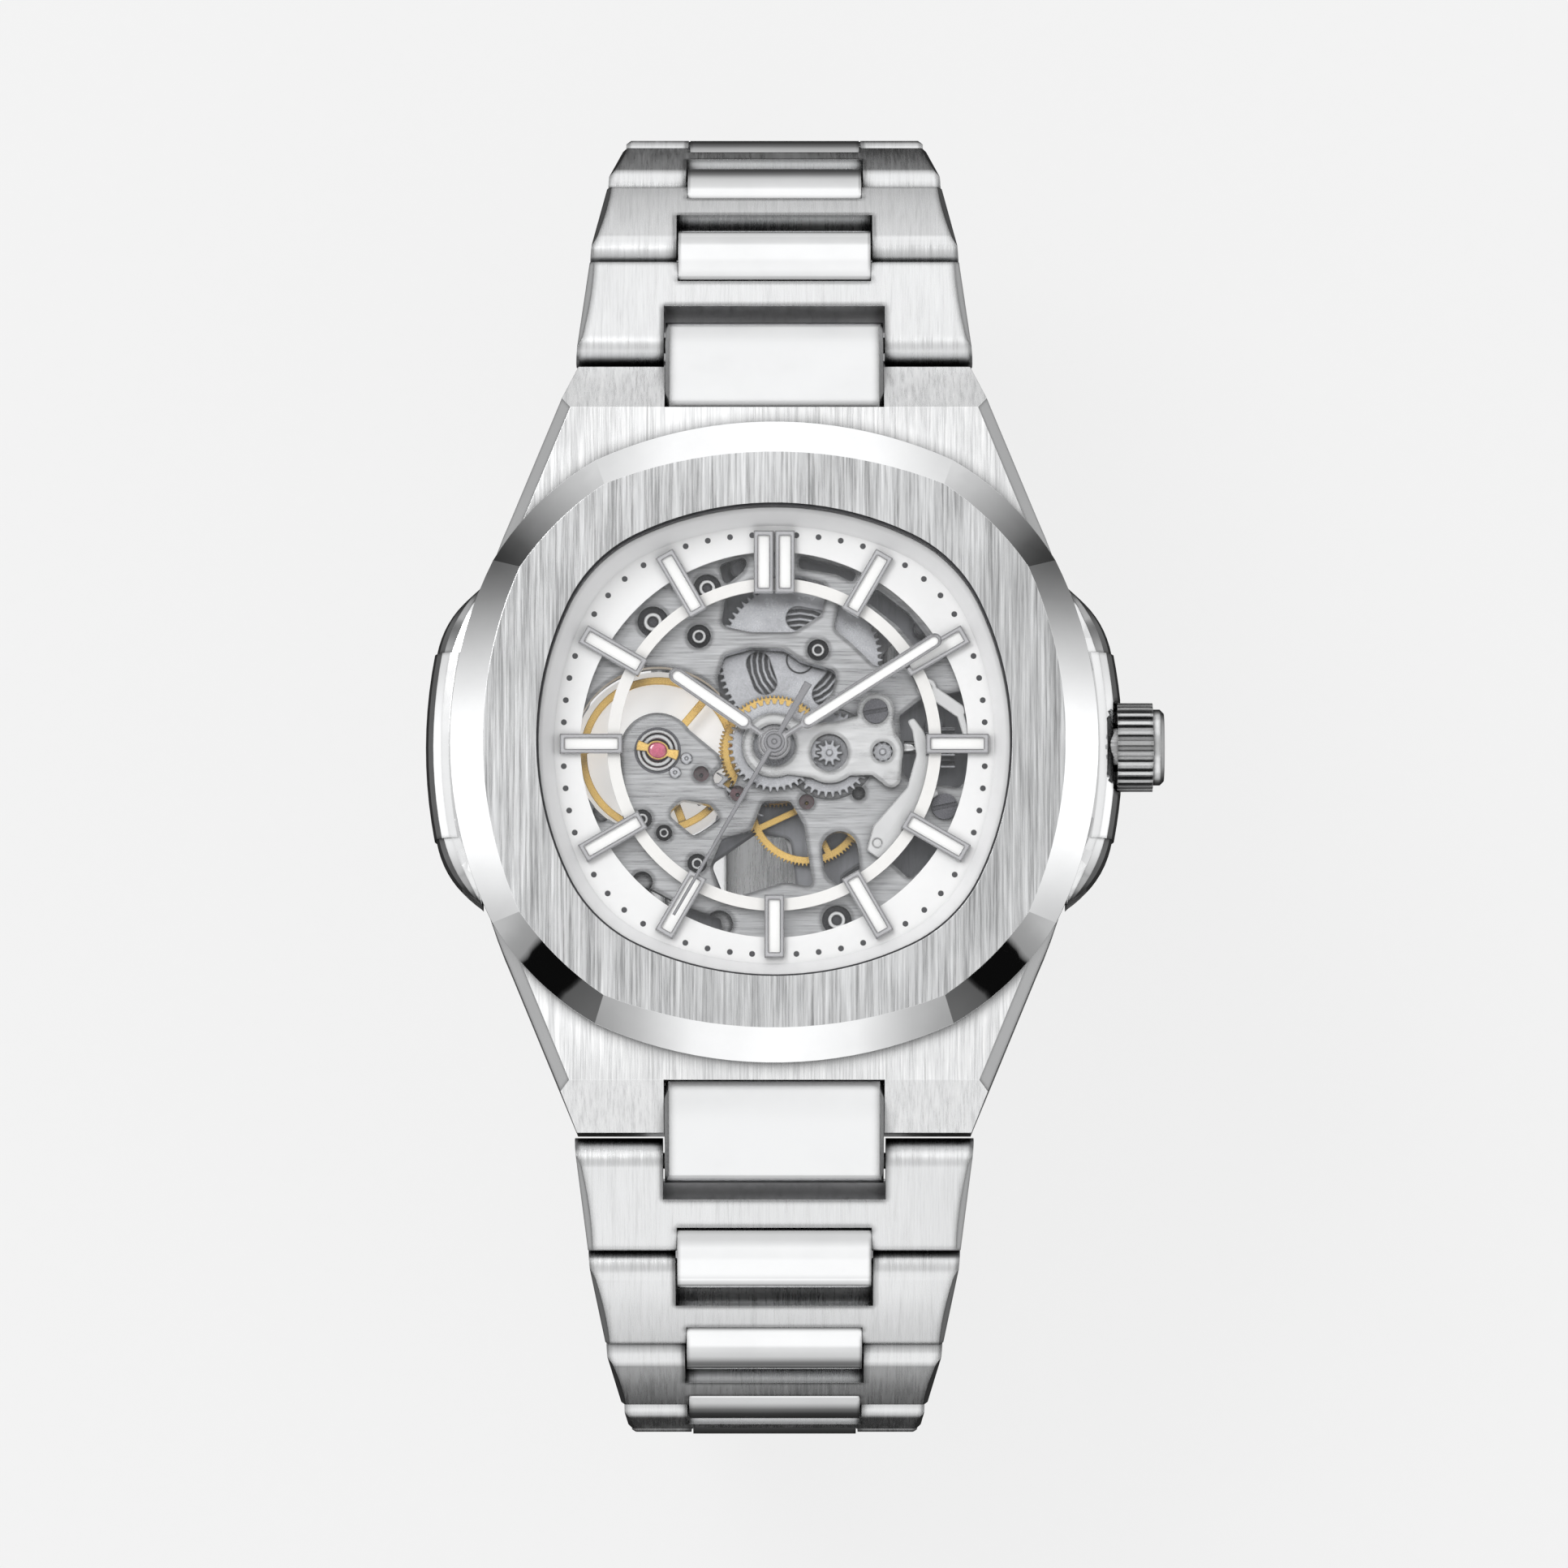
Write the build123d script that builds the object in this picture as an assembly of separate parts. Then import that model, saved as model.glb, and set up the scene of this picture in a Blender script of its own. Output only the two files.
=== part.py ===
"""Skeleton wristwatch with an integrated steel bracelet, as an assembly of separate pieces.

Frame: millimetres, origin on the hands' axis at the back crystal's outer face, +Z out through the dial,
+Y towards 12 o'clock, +X towards the crown. Hands, wheels and bracelet are drawn at 10:09:35.
"""
from build123d import *
from math import atan2, cos, degrees, hypot, radians, sin
import os

os.makedirs("parts", exist_ok=True)

# ---------------------------------------------------------------- case heights (z)
BACK_TOP = 1.2            # case back flange meets the middle case
CASE_TOP = 8.8            # middle case's top face, under the bezel
BEZEL_WALL_TOP = 9.5      # top of the bezel's upright wall, where the bevel starts
BEZEL_TOP = 10.9
CASE_BORE_R = 15.95       # movement cavity
INNER_R = 15.88           # what fills that cavity

# ---------------------------------------------------------------- case plan
BEZEL_MID_X, BEZEL_MID_Y = 19.93, 19.8      # middle of the bezel's side and end arcs
BEZEL_V1 = (11.0, 17.4)                     # bezel corner next to the end arc
BEZEL_V2 = (17.3, 11.2)                     # bezel corner next to the side arc
BEZEL_CORNER = 14.62                        # middle of the short corner arc, x = y
BEVEL = 2.05                                # bevel width seen from the front
OPENING = 14.6                              # half width of the dial opening
CUSHION_BULGE = 4.9                         # how far the opening's side arcs are offset
CUSHION_CORNER_R = 9.0
LUG_END_X, LUG_END_Y = 12.15, 23.8
LUG_SHOULDER_X, LUG_SHOULDER_Y = 16.2, 14.0
CASE_SIDE_X = 19.2
LUG_RIDGE_Y = 20.8                          # where the lug's top starts to slope
LUG_END_TOP, LUG_END_BOTTOM = 5.1, 1.75
EAR_X, EAR_HALF_Y = 21.55, 5.75
STEM_Z = 5.65                               # height of the crown's axis

# ---------------------------------------------------------------- bracelet
PITCH = 7.1                                 # pivot to pivot
LINK_R = 1.4                                # half the link's thickness
PIN_R = 0.5
PIN_PLAY = 0.03
FIRST_PIVOT = (25.4, 3.2)                   # (y, z) of the pivot at the lugs
ROW_ANGLES = (27, 48, 67, 86, 103, 120, 138, 157)   # slope of each row below the horizontal
ROW_WIDTHS = (24.3, 22.6, 20.6, 18.8, 18.1, 17.6, 17.1, 16.7, 16.3)   # near end of rows 1 to 8, then clasp
CENTRE_WIDTHS = (13.5, 12.0, 10.9, 10.7, 10.3, 10.1, 9.9, 9.7, 9.5)   # end link, then rows 1 to 8
BRIDGE_START, BRIDGE_END = 1.95, 3.85       # outer link's cross bridge, along the row
SIDE_PLAY = 0.12
EDGE_BREAK = 0.3                            # chamfer along the links' outer edges
LINK_BULGE = 0.14                           # how far the outer links' tops are bowed

# ---------------------------------------------------------------- movement layout (x, y)
PLATE_R = 13.0
PLATE_BOTTOM, PLATE_TOP = 5.0, 6.3
BRIDGE_BOTTOM, BRIDGE_TOP = 2.5, 2.85
CENTRE = (0.0, 0.0)
BARREL_AT = (1.6, 5.6)
THIRD_DISTANCE, THIRD_DIRECTION = 3.96, -59.7       # from the centre, degrees
ESCAPE_DISTANCE, ESCAPE_DIRECTION = 3.683, 232.0
BALANCE_AT = (-7.2, -0.25)
FORK_FROM_ESCAPE = 2.55
MINUTE_WHEEL_AT = (3.4, -0.45)
SETTING_WHEEL_AT = (6.685, -0.40)
COVER_SCREW_AT = (6.25, 2.1)
YOKE_PIVOT = (6.35, -6.05)
LEVER_PIVOT = (9.4, 3.6)
PLATE_SCREWS_AT = (COVER_SCREW_AT, (10.5, -3.75))

# Tooth counts of the going train and of the motion work.
BARREL_TEETH, CENTRE_LEAVES = 72, 12
CENTRE_TEETH, THIRD_LEAVES = 80, 16
THIRD_TEETH, FOURTH_LEAVES = 96, 8
FOURTH_TEETH, ESCAPE_LEAVES = 84, 7
ESCAPE_TEETH = 15
CANNON_LEAVES, MINUTE_TEETH = 12, 36
MINUTE_LEAVES, HOUR_TEETH = 10, 40
SETTING_TEETH = 10

# ---------------------------------------------------------------- dial and hands
DIAL_BOTTOM, DIAL_TOP = 7.35, 7.65
DIAL_HOLE_R = 11.95
INNER_RING_OUT, INNER_RING_IN = 10.3, 9.55
MARKER_IN, MARKER_OUT, MARKER_OUT_DIAGONAL = 9.35, 13.2, 13.6
MARKER_WIDTH, MARKER_FRAME, MARKER_TOP = 1.2, 0.26, 8.1
HOUR_ANGLE, MINUTE_ANGLE, SECOND_ANGLE = 304.8, 57.5, 210.0   # clockwise from 12
HOUR_HAND_Z, MINUTE_HAND_Z, SECOND_HAND_Z = 8.4, 8.76, 9.12
HAND_THICKNESS = 0.18


def polar(distance, direction, origin=(0.0, 0.0)):
    """The point at a distance and a direction in degrees from an origin."""
    angle = radians(direction)
    return (origin[0] + distance * cos(angle), origin[1] + distance * sin(angle))


THIRD_AT = polar(THIRD_DISTANCE, THIRD_DIRECTION)
ESCAPE_AT = polar(ESCAPE_DISTANCE, ESCAPE_DIRECTION)
FORK_DIRECTION = degrees(atan2(BALANCE_AT[1] - ESCAPE_AT[1], BALANCE_AT[0] - ESCAPE_AT[0]))
FORK_AT = polar(FORK_FROM_ESCAPE, FORK_DIRECTION, ESCAPE_AT)


# ================================================================ helpers
def prism(sketch, z0, z1):
    """A sketch drawn on the XY plane, as a solid from height z0 to z1."""
    return extrude(Pos(0, 0, z0) * sketch, z1 - z0, dir=(0, 0, 1))


def disc(radius, z0, z1, at=CENTRE):
    return Pos(at[0], at[1], (z0 + z1) / 2) * Cylinder(radius, z1 - z0)


def ring(outer, inner, z0, z1, at=CENTRE):
    return disc(outer, z0, z1, at) - disc(inner, z0 - 1, z1 + 1, at)


def bar_along_x(radius, x0, x1, y, z):
    return Pos((x0 + x1) / 2, y, z) * Rot(0, 90, 0) * Cylinder(radius, x1 - x0)


def circle(radius, at=CENTRE):
    return Pos(*at) * Circle(radius)


def blob(points, corner):
    """A closed outline through the points, with every corner rounded."""
    outline = Polygon(*points, align=None)
    return fillet(outline.vertices(), corner)


def stadium(start, end, width):
    """A round-ended bar between two points."""
    length = hypot(end[0] - start[0], end[1] - start[1])
    turn = degrees(atan2(end[1] - start[1], end[0] - start[0]))
    middle = ((start[0] + end[0]) / 2, (start[1] + end[1]) / 2)
    return Pos(*middle) * Rot(0, 0, turn) * SlotCenterToCenter(length, width)


def octagon(mid_x, mid_y, v1, v2, corner):
    """The bezel's eight-sided outline, each side a shallow arc."""
    sides = []
    quarter = ((1, 1), (-1, 1), (-1, -1), (1, -1))
    for i, (sx, sy) in enumerate(quarter):
        a, b = (sx * v1[0], sy * v1[1]), (sx * v2[0], sy * v2[1])
        sides.append(ThreePointArc(a, (sx * corner, sy * corner), b))
        nx, ny = quarter[(i + 1) % 4]
        if nx != sx:
            sides.append(ThreePointArc(a, (0, sy * mid_y), (nx * v1[0], ny * v1[1])))
        else:
            sides.append(ThreePointArc(b, (sx * mid_x, 0), (nx * v2[0], ny * v2[1])))
    return make_face(Curve() + sides)


def cushion(half):
    """The dial opening's rounded-square outline."""
    radius = half + CUSHION_BULGE
    shape = circle(radius, (-CUSHION_BULGE, 0)) & circle(radius, (CUSHION_BULGE, 0))
    shape = shape & circle(radius, (0, -CUSHION_BULGE)) & circle(radius, (0, CUSHION_BULGE))
    return fillet(shape.vertices(), CUSHION_CORNER_R * half / OPENING)


# ================================================================ gears
ADDENDUM, DEDENDUM = 0.9, 1.15
ROOT_SHARE, TIP_SHARE = 0.29, 0.11          # tooth half widths, as shares of the pitch angle


def gear_outline(teeth, module, at=CENTRE, first=0.0):
    """Straight-flanked watch gear. first is the direction of one tooth, in degrees."""
    tip = module * teeth / 2 + ADDENDUM * module
    root = module * teeth / 2 - DEDENDUM * module
    step = 360 / teeth
    points = []
    for i in range(teeth):
        middle = first + i * step
        for radius, share in ((root, -ROOT_SHARE), (tip, -TIP_SHARE), (tip, TIP_SHARE), (root, ROOT_SHARE)):
            points.append(polar(radius, middle + share * step, at))
    return Polygon(*points, align=None)


def wheel_outline(teeth, module, at, first, hub, arms, arm_width, rim=0.42):
    """A gear with its middle cut away, leaving a rim, a hub and arms."""
    rim_in = module * teeth / 2 - DEDENDUM * module - rim
    sketch = gear_outline(teeth, module, at, first) - circle(rim_in, at)
    for i in range(arms):
        sketch += stadium(at, polar(rim_in + rim / 2, i * 360 / arms + 25, at), arm_width)
    return sketch + circle(hub, at)


def mate(first, teeth, other_teeth, line):
    """Direction of one tooth of the second gear that puts it in mesh across a line of centres."""
    step, other = 360 / teeth, 360 / other_teeth
    share = ((line - first) / step) % 1
    return (line + 180) - ((0.5 - share) % 1) * other


def line_of(a, b):
    return degrees(atan2(b[1] - a[1], b[0] - a[0]))


def module_of(a, b, teeth_a, teeth_b):
    return 2 * hypot(b[0] - a[0], b[1] - a[1]) / (teeth_a + teeth_b)


def spiral(at, inner, outer, turns, width, z0, z1, steps=24):
    """A flat strip spring wound from inner to outer radius."""
    count = int(turns * steps)
    out_side, in_side = [], []
    for i in range(count + 1):
        radius = inner + (outer - inner) * i / count
        out_side.append(polar(radius + width / 2, i * 360 / steps, at))
        in_side.append(polar(radius - width / 2, i * 360 / steps, at))
    return prism(Polygon(*out_side, *reversed(in_side), align=None), z0, z1)


# ================================================================ case
def case_outline():
    ends = ((LUG_END_X, LUG_END_Y), (-LUG_END_X, LUG_END_Y))
    a = (LUG_SHOULDER_X, LUG_SHOULDER_Y)
    sides = [
        Line((-LUG_END_X, LUG_END_Y), (LUG_END_X, LUG_END_Y)),
        Line((LUG_END_X, LUG_END_Y), a),
        ThreePointArc(a, (CASE_SIDE_X, 0), (a[0], -a[1])),
        Line((a[0], -a[1]), (LUG_END_X, -LUG_END_Y)),
        Line((LUG_END_X, -LUG_END_Y), (-LUG_END_X, -LUG_END_Y)),
        Line((-LUG_END_X, -LUG_END_Y), (-a[0], -a[1])),
        ThreePointArc((-a[0], -a[1]), (-CASE_SIDE_X, 0), (-a[0], a[1])),
        Line((-a[0], a[1]), (-LUG_END_X, LUG_END_Y)),
    ]
    return make_face(Curve() + sides)


def lug_profile():
    """Side view (y, z) of the middle case: flat on top, sloping down over each lug."""
    right = [
        (0, CASE_TOP), (LUG_RIDGE_Y, CASE_TOP), (LUG_END_Y + 1, LUG_END_TOP - 1.18),
        (LUG_END_Y + 1, LUG_END_BOTTOM), (LUG_RIDGE_Y, BACK_TOP), (0, BACK_TOP),
    ]
    left = [(-y, z) for y, z in reversed(right)]
    return Plane.YZ * Polygon(*right, *left, align=None)


def ear_plan(half_y, taper_y, inset):
    """Ear outline between two heights of y, set in by an amount; taper_y is where its shoulders run out."""
    root_x, corner_x = 18.0, EAR_X - 0.55 - inset
    if taper_y:
        upper = Spline((corner_x, half_y), (corner_x - 0.85, half_y + 2.2), (root_x, taper_y))
        lower = Spline((root_x, -taper_y), (corner_x - 0.85, -half_y - 2.2), (corner_x, -half_y))
        end_y = taper_y
    else:
        upper = Line((corner_x, half_y), (root_x, half_y))
        lower = Line((root_x, -half_y), (corner_x, -half_y))
        end_y = half_y
    front = ThreePointArc((corner_x, -half_y), (EAR_X - inset, 0), (corner_x, half_y))
    return make_face(Curve() + [lower, front, upper, Line((root_x, end_y), (root_x, -end_y))])


def ear(side):
    """Rounded side block with tapering shoulders. side is +1 at the crown and -1 opposite."""
    layers = ((2.5, 0.55), (3.1, 0.1), (4.2, 0.0), (5.5, 0.02), (6.3, 0.2), (6.9, 0.52), (7.3, 1.0), (7.45, 1.5))
    piece = None
    for half_y, taper_y, inset in ((EAR_HALF_Y, 9.9, 0.12), (EAR_HALF_Y, 0, 0.0)):
        sections = [Pos(0, 0, z) * ear_plan(half_y, taper_y, inset + more) for z, more in layers]
        solid = loft(sections, ruled=True)
        piece = solid if piece is None else piece + solid
    return piece if side > 0 else mirror(piece, Plane.YZ)


def mid_case():
    outline = case_outline()
    body = prism(outline, BACK_TOP, CASE_TOP - 0.8)
    crown_edge = loft([Pos(0, 0, CASE_TOP - 0.8) * outline,
                       Pos(0, 0, CASE_TOP) * offset(outline, -0.75, kind=Kind.INTERSECTION)], ruled=True)
    body = (body + crown_edge) & extrude(lug_profile(), 30, both=True)
    body += ear(1) + ear(-1)
    body -= disc(CASE_BORE_R, 0, 12)
    body -= ring(17.35, 16.65, CASE_TOP - 0.35, CASE_TOP + 1)
    notch = CENTRE_WIDTHS[0] / 2 + 0.03
    for sign in (1, -1):
        body -= Pos(0, sign * (LUG_RIDGE_Y + 5), 5) * Box(2 * notch, 10, 12)
        y, z = sign * 22.5, 3.3
        body -= bar_along_x(0.6, -11.2, 11.2, y, z)
    for at in back_screw_places():
        body -= disc(0.3, BACK_TOP - 1, 2.7, at)
    body -= bar_along_x(2.95, EAR_X - 0.65, EAR_X + 3, 0, STEM_Z)
    body -= bar_along_x(1.5, 14, EAR_X + 1, 0, STEM_Z)
    tube = bar_along_x(1.5, 16.2, 22.7, 0, STEM_Z) - bar_along_x(0.7, 15, 23, 0, STEM_Z)
    return Compound([body.solid(), tube.solid()])


def back_screw_places():
    return [polar(17.25, 30 + 60 * i) for i in range(6)]


def bezel():
    outer = octagon(BEZEL_MID_X, BEZEL_MID_Y, BEZEL_V1, BEZEL_V2, BEZEL_CORNER)
    shrink = 0.935
    v1 = (BEZEL_V1[0] * 0.95, BEZEL_V1[1] * 0.905)
    v2 = (BEZEL_V2[0] * 0.902, BEZEL_V2[1] * 0.95)
    inner = octagon(BEZEL_MID_X - BEVEL, BEZEL_MID_Y - BEVEL, v1, v2, BEZEL_CORNER * shrink - 0.32)
    wall = prism(outer, CASE_TOP, BEZEL_WALL_TOP)
    bevel = loft([Pos(0, 0, BEZEL_WALL_TOP) * outer, Pos(0, 0, BEZEL_TOP) * inner], ruled=True)
    shell = wall + bevel - prism(cushion(OPENING), BEZEL_WALL_TOP - 1, BEZEL_TOP + 1)
    return shell - disc(CASE_BORE_R, CASE_TOP - 1, BEZEL_WALL_TOP)


def flange_ring():
    """Sloping ring between the crystal and the dial."""
    well = loft([Pos(0, 0, DIAL_TOP) * cushion(13.55), Pos(0, 0, BEZEL_WALL_TOP) * cushion(14.45)])
    return disc(INNER_R, DIAL_TOP, BEZEL_WALL_TOP) - well


def crystal_front():
    glass = prism(cushion(OPENING - 0.13), BEZEL_WALL_TOP, BEZEL_TOP - 0.05)
    return chamfer(glass.edges().group_by(Axis.Z)[-1], 0.22)


def case_seals():
    crystal_seal = prism(cushion(OPENING - 0.01) - cushion(OPENING - 0.12), BEZEL_WALL_TOP, BEZEL_TOP - 0.25)
    bezel_seal = ring(17.3, 16.7, CASE_TOP - 0.33, CASE_TOP)
    back_seal = ring(16.55, 16.15, 0.95, BACK_TOP)
    return Compound([s.solid() for s in (crystal_seal, bezel_seal, back_seal)])


def crown_seal():
    """Rubber ring carried in the crown, sliding on the tube."""
    return bar_along_x(1.75, 21.42, 21.72, 0, STEM_Z) - bar_along_x(1.53, 21, 23, 0, STEM_Z)


def case_back():
    body = disc(17.8, 0, BACK_TOP) + disc(CASE_BORE_R - 0.05, BACK_TOP, 1.6)
    body = chamfer(body.edges().group_by(Axis.Z)[0], 0.3)
    body -= disc(12.45, -1, 1.0) + disc(11.9, 0.5, 3)
    body -= disc(14.6, 1.3, 3)
    body -= ring(16.6, 16.1, 0.95, BACK_TOP + 1)
    for at in back_screw_places():
        body -= disc(0.32, -1, 2, at) + disc(0.52, -1, 0.55, at)
    return body


def slotted_screw(at, head_r, head_z0, head_z1, shank_r, shank_end, turn=0):
    """A screw with a straight slot. The head faces away from shank_end."""
    outward = 1 if head_z1 > shank_end and head_z0 > shank_end else -1
    face = head_z1 if outward > 0 else head_z0
    screw = disc(head_r, head_z0, head_z1, at)
    screw += disc(shank_r, min(shank_end, head_z0), max(shank_end, head_z1), at)
    slot = Pos(at[0], at[1], face) * Rot(0, 0, turn) * Box(3 * head_r, 0.18 * head_r / 0.5, 0.3)
    return (screw - slot).solid()


def screws():
    made = []
    for i, at in enumerate(back_screw_places()):
        made.append(slotted_screw(at, 0.5, 0.12, 0.55, 0.3, 2.6, 35 * i))
    made.append(slotted_screw(COVER_SCREW_AT, 0.75, 7.0, 7.22, 0.35, 5.4, 10))
    made.append(slotted_screw(PLATE_SCREWS_AT[1], 0.8, 6.3, 6.75, 0.35, 5.4, 12))
    return Compound(made)


def movement_holder():
    body = ring(INNER_R, PLATE_R + 0.05, 1.65, DIAL_BOTTOM)
    return body - bar_along_x(1.0, 11, 17, 0, STEM_Z)


# ================================================================ dial
def marker_angle_radii():
    """(clockwise angle, sideways offset, outer radius) of each applied marker; 12 o'clock has two."""
    places = []
    for hour in range(12):
        outer = MARKER_OUT if hour % 3 == 0 else MARKER_OUT_DIAGONAL
        shifts = (-0.66, 0.66) if hour == 0 else (0.0,)
        places += [(30 * hour, shift, outer) for shift in shifts]
    return places


def marker_bar(angle, shift, inner, outer, width):
    bar = Pos(shift, (inner + outer) / 2) * Rectangle(width, outer - inner)
    return Rot(0, 0, -angle) * bar


def dial_ring():
    plate = circle(INNER_R) - circle(DIAL_HOLE_R)
    plate += circle(INNER_RING_OUT) - circle(INNER_RING_IN)
    for angle, shift, outer in marker_angle_radii():
        plate += marker_bar(angle, shift, INNER_RING_OUT - 0.2, DIAL_HOLE_R + 0.2, MARKER_WIDTH - 0.4)
    return prism(plate, DIAL_BOTTOM, DIAL_TOP)


def hour_markers():
    made = []
    for angle, shift, outer in marker_angle_radii():
        frame = marker_bar(angle, shift, MARKER_IN, outer, MARKER_WIDTH)
        pocket = marker_bar(angle, shift, MARKER_IN + 0.3, outer - 0.3, MARKER_WIDTH - 2 * MARKER_FRAME)
        body = prism(frame, DIAL_TOP, MARKER_TOP) - prism(pocket, MARKER_TOP - 0.15, MARKER_TOP + 1)
        made.append(body.solid())
    return Compound(made)


# ================================================================ hands
def baton_hand(angle, neck, tip, width, hub, hole, z):
    """A round-ended baton with a pocket for the luminous fill."""
    body = stadium((0, neck + width / 2), (0, tip - width / 2), width)
    stalk = Pos(0, (neck + 0.4) / 2) * Rectangle(0.36, neck + 0.4)
    sketch = body + stalk + circle(hub)
    pocket = stadium((0, neck + width / 2 + 0.1), (0, tip - width / 2 - 0.06), width - 0.36)
    hand = prism(sketch, z, z + HAND_THICKNESS) - disc(hole, z - 1, z + 1)
    hand -= prism(pocket, z + 0.08, z + 1)
    return Rot(0, 0, -angle) * hand


def hour_hand():
    return baton_hand(HOUR_ANGLE, 1.75, 7.8, 0.95, 1.05, 0.80, HOUR_HAND_Z)


def minute_hand():
    return baton_hand(MINUTE_ANGLE, 1.95, 12.15, 0.88, 0.86, 0.52, MINUTE_HAND_Z)


def seconds_hand():
    needle = Polygon((-0.16, 0), (-0.09, 12.35), (0.09, 12.35), (0.16, 0), align=None)
    tail = Polygon((-0.14, 0), (-0.25, -4.2), (0.25, -4.2), (0.14, 0), align=None)
    sketch = needle + tail + circle(0.66)
    hand = prism(sketch, SECOND_HAND_Z, SECOND_HAND_Z + 0.13)
    hand += disc(0.45, SECOND_HAND_Z - 0.12, SECOND_HAND_Z + 0.2)
    hand -= disc(0.16, SECOND_HAND_Z - 1, SECOND_HAND_Z + 1)
    return Rot(0, 0, -SECOND_ANGLE) * hand


# ================================================================ main plate and bridges
def plate_windows():
    """Openings through the main plate, seen from the dial side."""
    boss = circle(2.35, BALANCE_AT)
    keep = Polygon((-9.5, -0.6), (-9.2, -7.5), (-2.0, -7.0), (-3.4, -0.5), (-5.2, 1.0), align=None)
    balance = circle(5.2, BALANCE_AT) - boss - keep
    train = blob([(-3.5, 4.3), (-3.1, 5.7), (-1.5, 6.15), (0.6, 6.05), (1.7, 5.3), (3.9, 4.7),
                  (3.6, 3.4), (2.0, 1.6), (-2.0, 1.4), (-3.3, 2.6)], 0.5) - (circle(1.95))
    barrel_left = blob([(-3.3, 7.5), (-3.0, 9.3), (-1.4, 10.3), (1.6, 10.6), (3.3, 10.1),
                        (2.9, 8.2), (1.2, 7.1), (-1.4, 7.1)], 0.45)
    barrel_right = blob([(4.1, 9.7), (5.9, 8.2), (7.9, 5.7), (6.3, 4.9), (4.9, 6.3), (3.7, 7.3)], 0.45)
    rim_right = blob([(6.2, 9.9), (8.3, 8.3), (9.9, 6.2), (9.2, 5.6), (7.6, 7.5), (5.7, 9.0)], 0.35)
    rim_top = blob([(-3.4, 11.3), (-3.1, 9.9), (-1.9, 10.9), (-1.5, 11.9)], 0.3)
    rim_top_right = blob([(1.5, 11.9), (1.5, 11.1), (3.8, 10.7), (4.9, 10.2), (5.1, 10.9)], 0.25)
    keyless = blob([(7.7, 1.9), (9.1, 3.0), (11.9, 3.5), (12.2, 1.5), (12.9, 0.8), (12.9, -0.8), (12.2, -1.6),
                    (11.4, -2.6), (8.0, -1.9)], 0.35)
    lower_right = blob([(6.9, -6.9), (9.4, -4.8), (10.6, -6.0), (8.4, -8.3)], 0.4)
    escape_window = blob([(-0.7, -3.4), (1.0, -3.4), (1.8, -4.8), (2.4, -8.7), (0.6, -8.4),
                          (-3.2, -9.6), (-3.9, -7.3), (-3.2, -5.7), (-1.4, -5.2)], 0.3)
    third_slot = Pos(4.1, -6.9) * Rot(0, 0, 97) * SlotCenterToCenter(1.1, 2.2)
    heart = blob([(-6.6, -4.2), (-5.7, -3.3), (-4.0, -3.6), (-3.2, -4.5), (-4.9, -5.6)], 0.42)
    peep = circle(0.65, (-3.1, -1.9))
    lower_left = blob([(-8.2, -8.5), (-5.6, -9.9), (-3.3, -10.6), (-3.2, -11.6), (-5.9, -10.9),
                       (-8.2, -9.3)], 0.25)
    left_edge = blob([(-12.0, -1.0), (-9.9, -1.0), (-9.9, -3.1), (-11.5, -3.1)], 0.3)
    barrel_face = [train, barrel_left, barrel_right, rim_right, rim_top, rim_top_right]
    others = [keyless, lower_right, escape_window, third_slot, heart, peep, lower_left, left_edge]
    return balance, barrel_face + others


CUPS = (                                    # blind cups and tapped holes: x, y, radius
    (-4.15, 9.85, 0.85), (-7.5, 7.75, 0.95), (-4.65, 6.85, 0.72), (2.7, 6.0, 0.66), (-10.65, -4.1, 0.58),
    (-8.15, -4.5, 0.6), (-6.8, -5.35, 0.5), (-8.15, -8.4, 0.65), (-4.75, -7.25, 0.6), (3.85, -10.75, 0.9),
    (5.2, -2.9, 0.42), (-3.4, -11.0, 0.85),
)
PLATE_JEWELS = (THIRD_AT, ESCAPE_AT, FORK_AT)
BRIDGE_JEWELS = (THIRD_AT, ESCAPE_AT)
JEWEL_R, JEWEL_BORE = 0.48, 0.13


def main_plate():
    body = disc(PLATE_R, PLATE_BOTTOM, PLATE_TOP)
    balance, windows = plate_windows()
    body -= prism(balance, PLATE_BOTTOM - 1, PLATE_TOP + 1)
    for window in windows:
        body -= prism(window, PLATE_BOTTOM - 1, PLATE_TOP + 1)
    for x, y, radius in CUPS:
        body -= disc(radius, PLATE_TOP - 0.75, PLATE_TOP + 1, (x, y))
    for at in PLATE_JEWELS:
        body -= disc(JEWEL_R, PLATE_BOTTOM - 1, PLATE_TOP + 1, at)
    body -= disc(0.42, PLATE_BOTTOM - 1, PLATE_TOP + 1)
    body -= disc(0.9, PLATE_TOP - 0.5, PLATE_TOP + 1, BALANCE_AT)
    body -= disc(0.2, PLATE_BOTTOM - 1, PLATE_TOP, BALANCE_AT)
    body -= disc(2.85, PLATE_TOP - 0.12, PLATE_TOP + 1, MINUTE_WHEEL_AT)
    body -= disc(0.36, 5.3, 7, COVER_SCREW_AT) + disc(0.36, 5.3, 7, PLATE_SCREWS_AT[1])
    body -= disc(0.21, 5.5, 7, MINUTE_WHEEL_AT) + disc(0.21, 5.5, 7, SETTING_WHEEL_AT)
    body -= disc(0.31, 5.5, 7, YOKE_PIVOT) + disc(0.31, 5.5, 7, LEVER_PIVOT)
    body -= disc(0.2, PLATE_BOTTOM - 1, 5.6, BARREL_AT)
    body -= Pos(PLATE_R, 0, STEM_Z) * Box(1.5, 1.6, 3)
    return largest(body)


def largest(shape):
    return max(shape.solids(), key=lambda s: s.volume)


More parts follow.
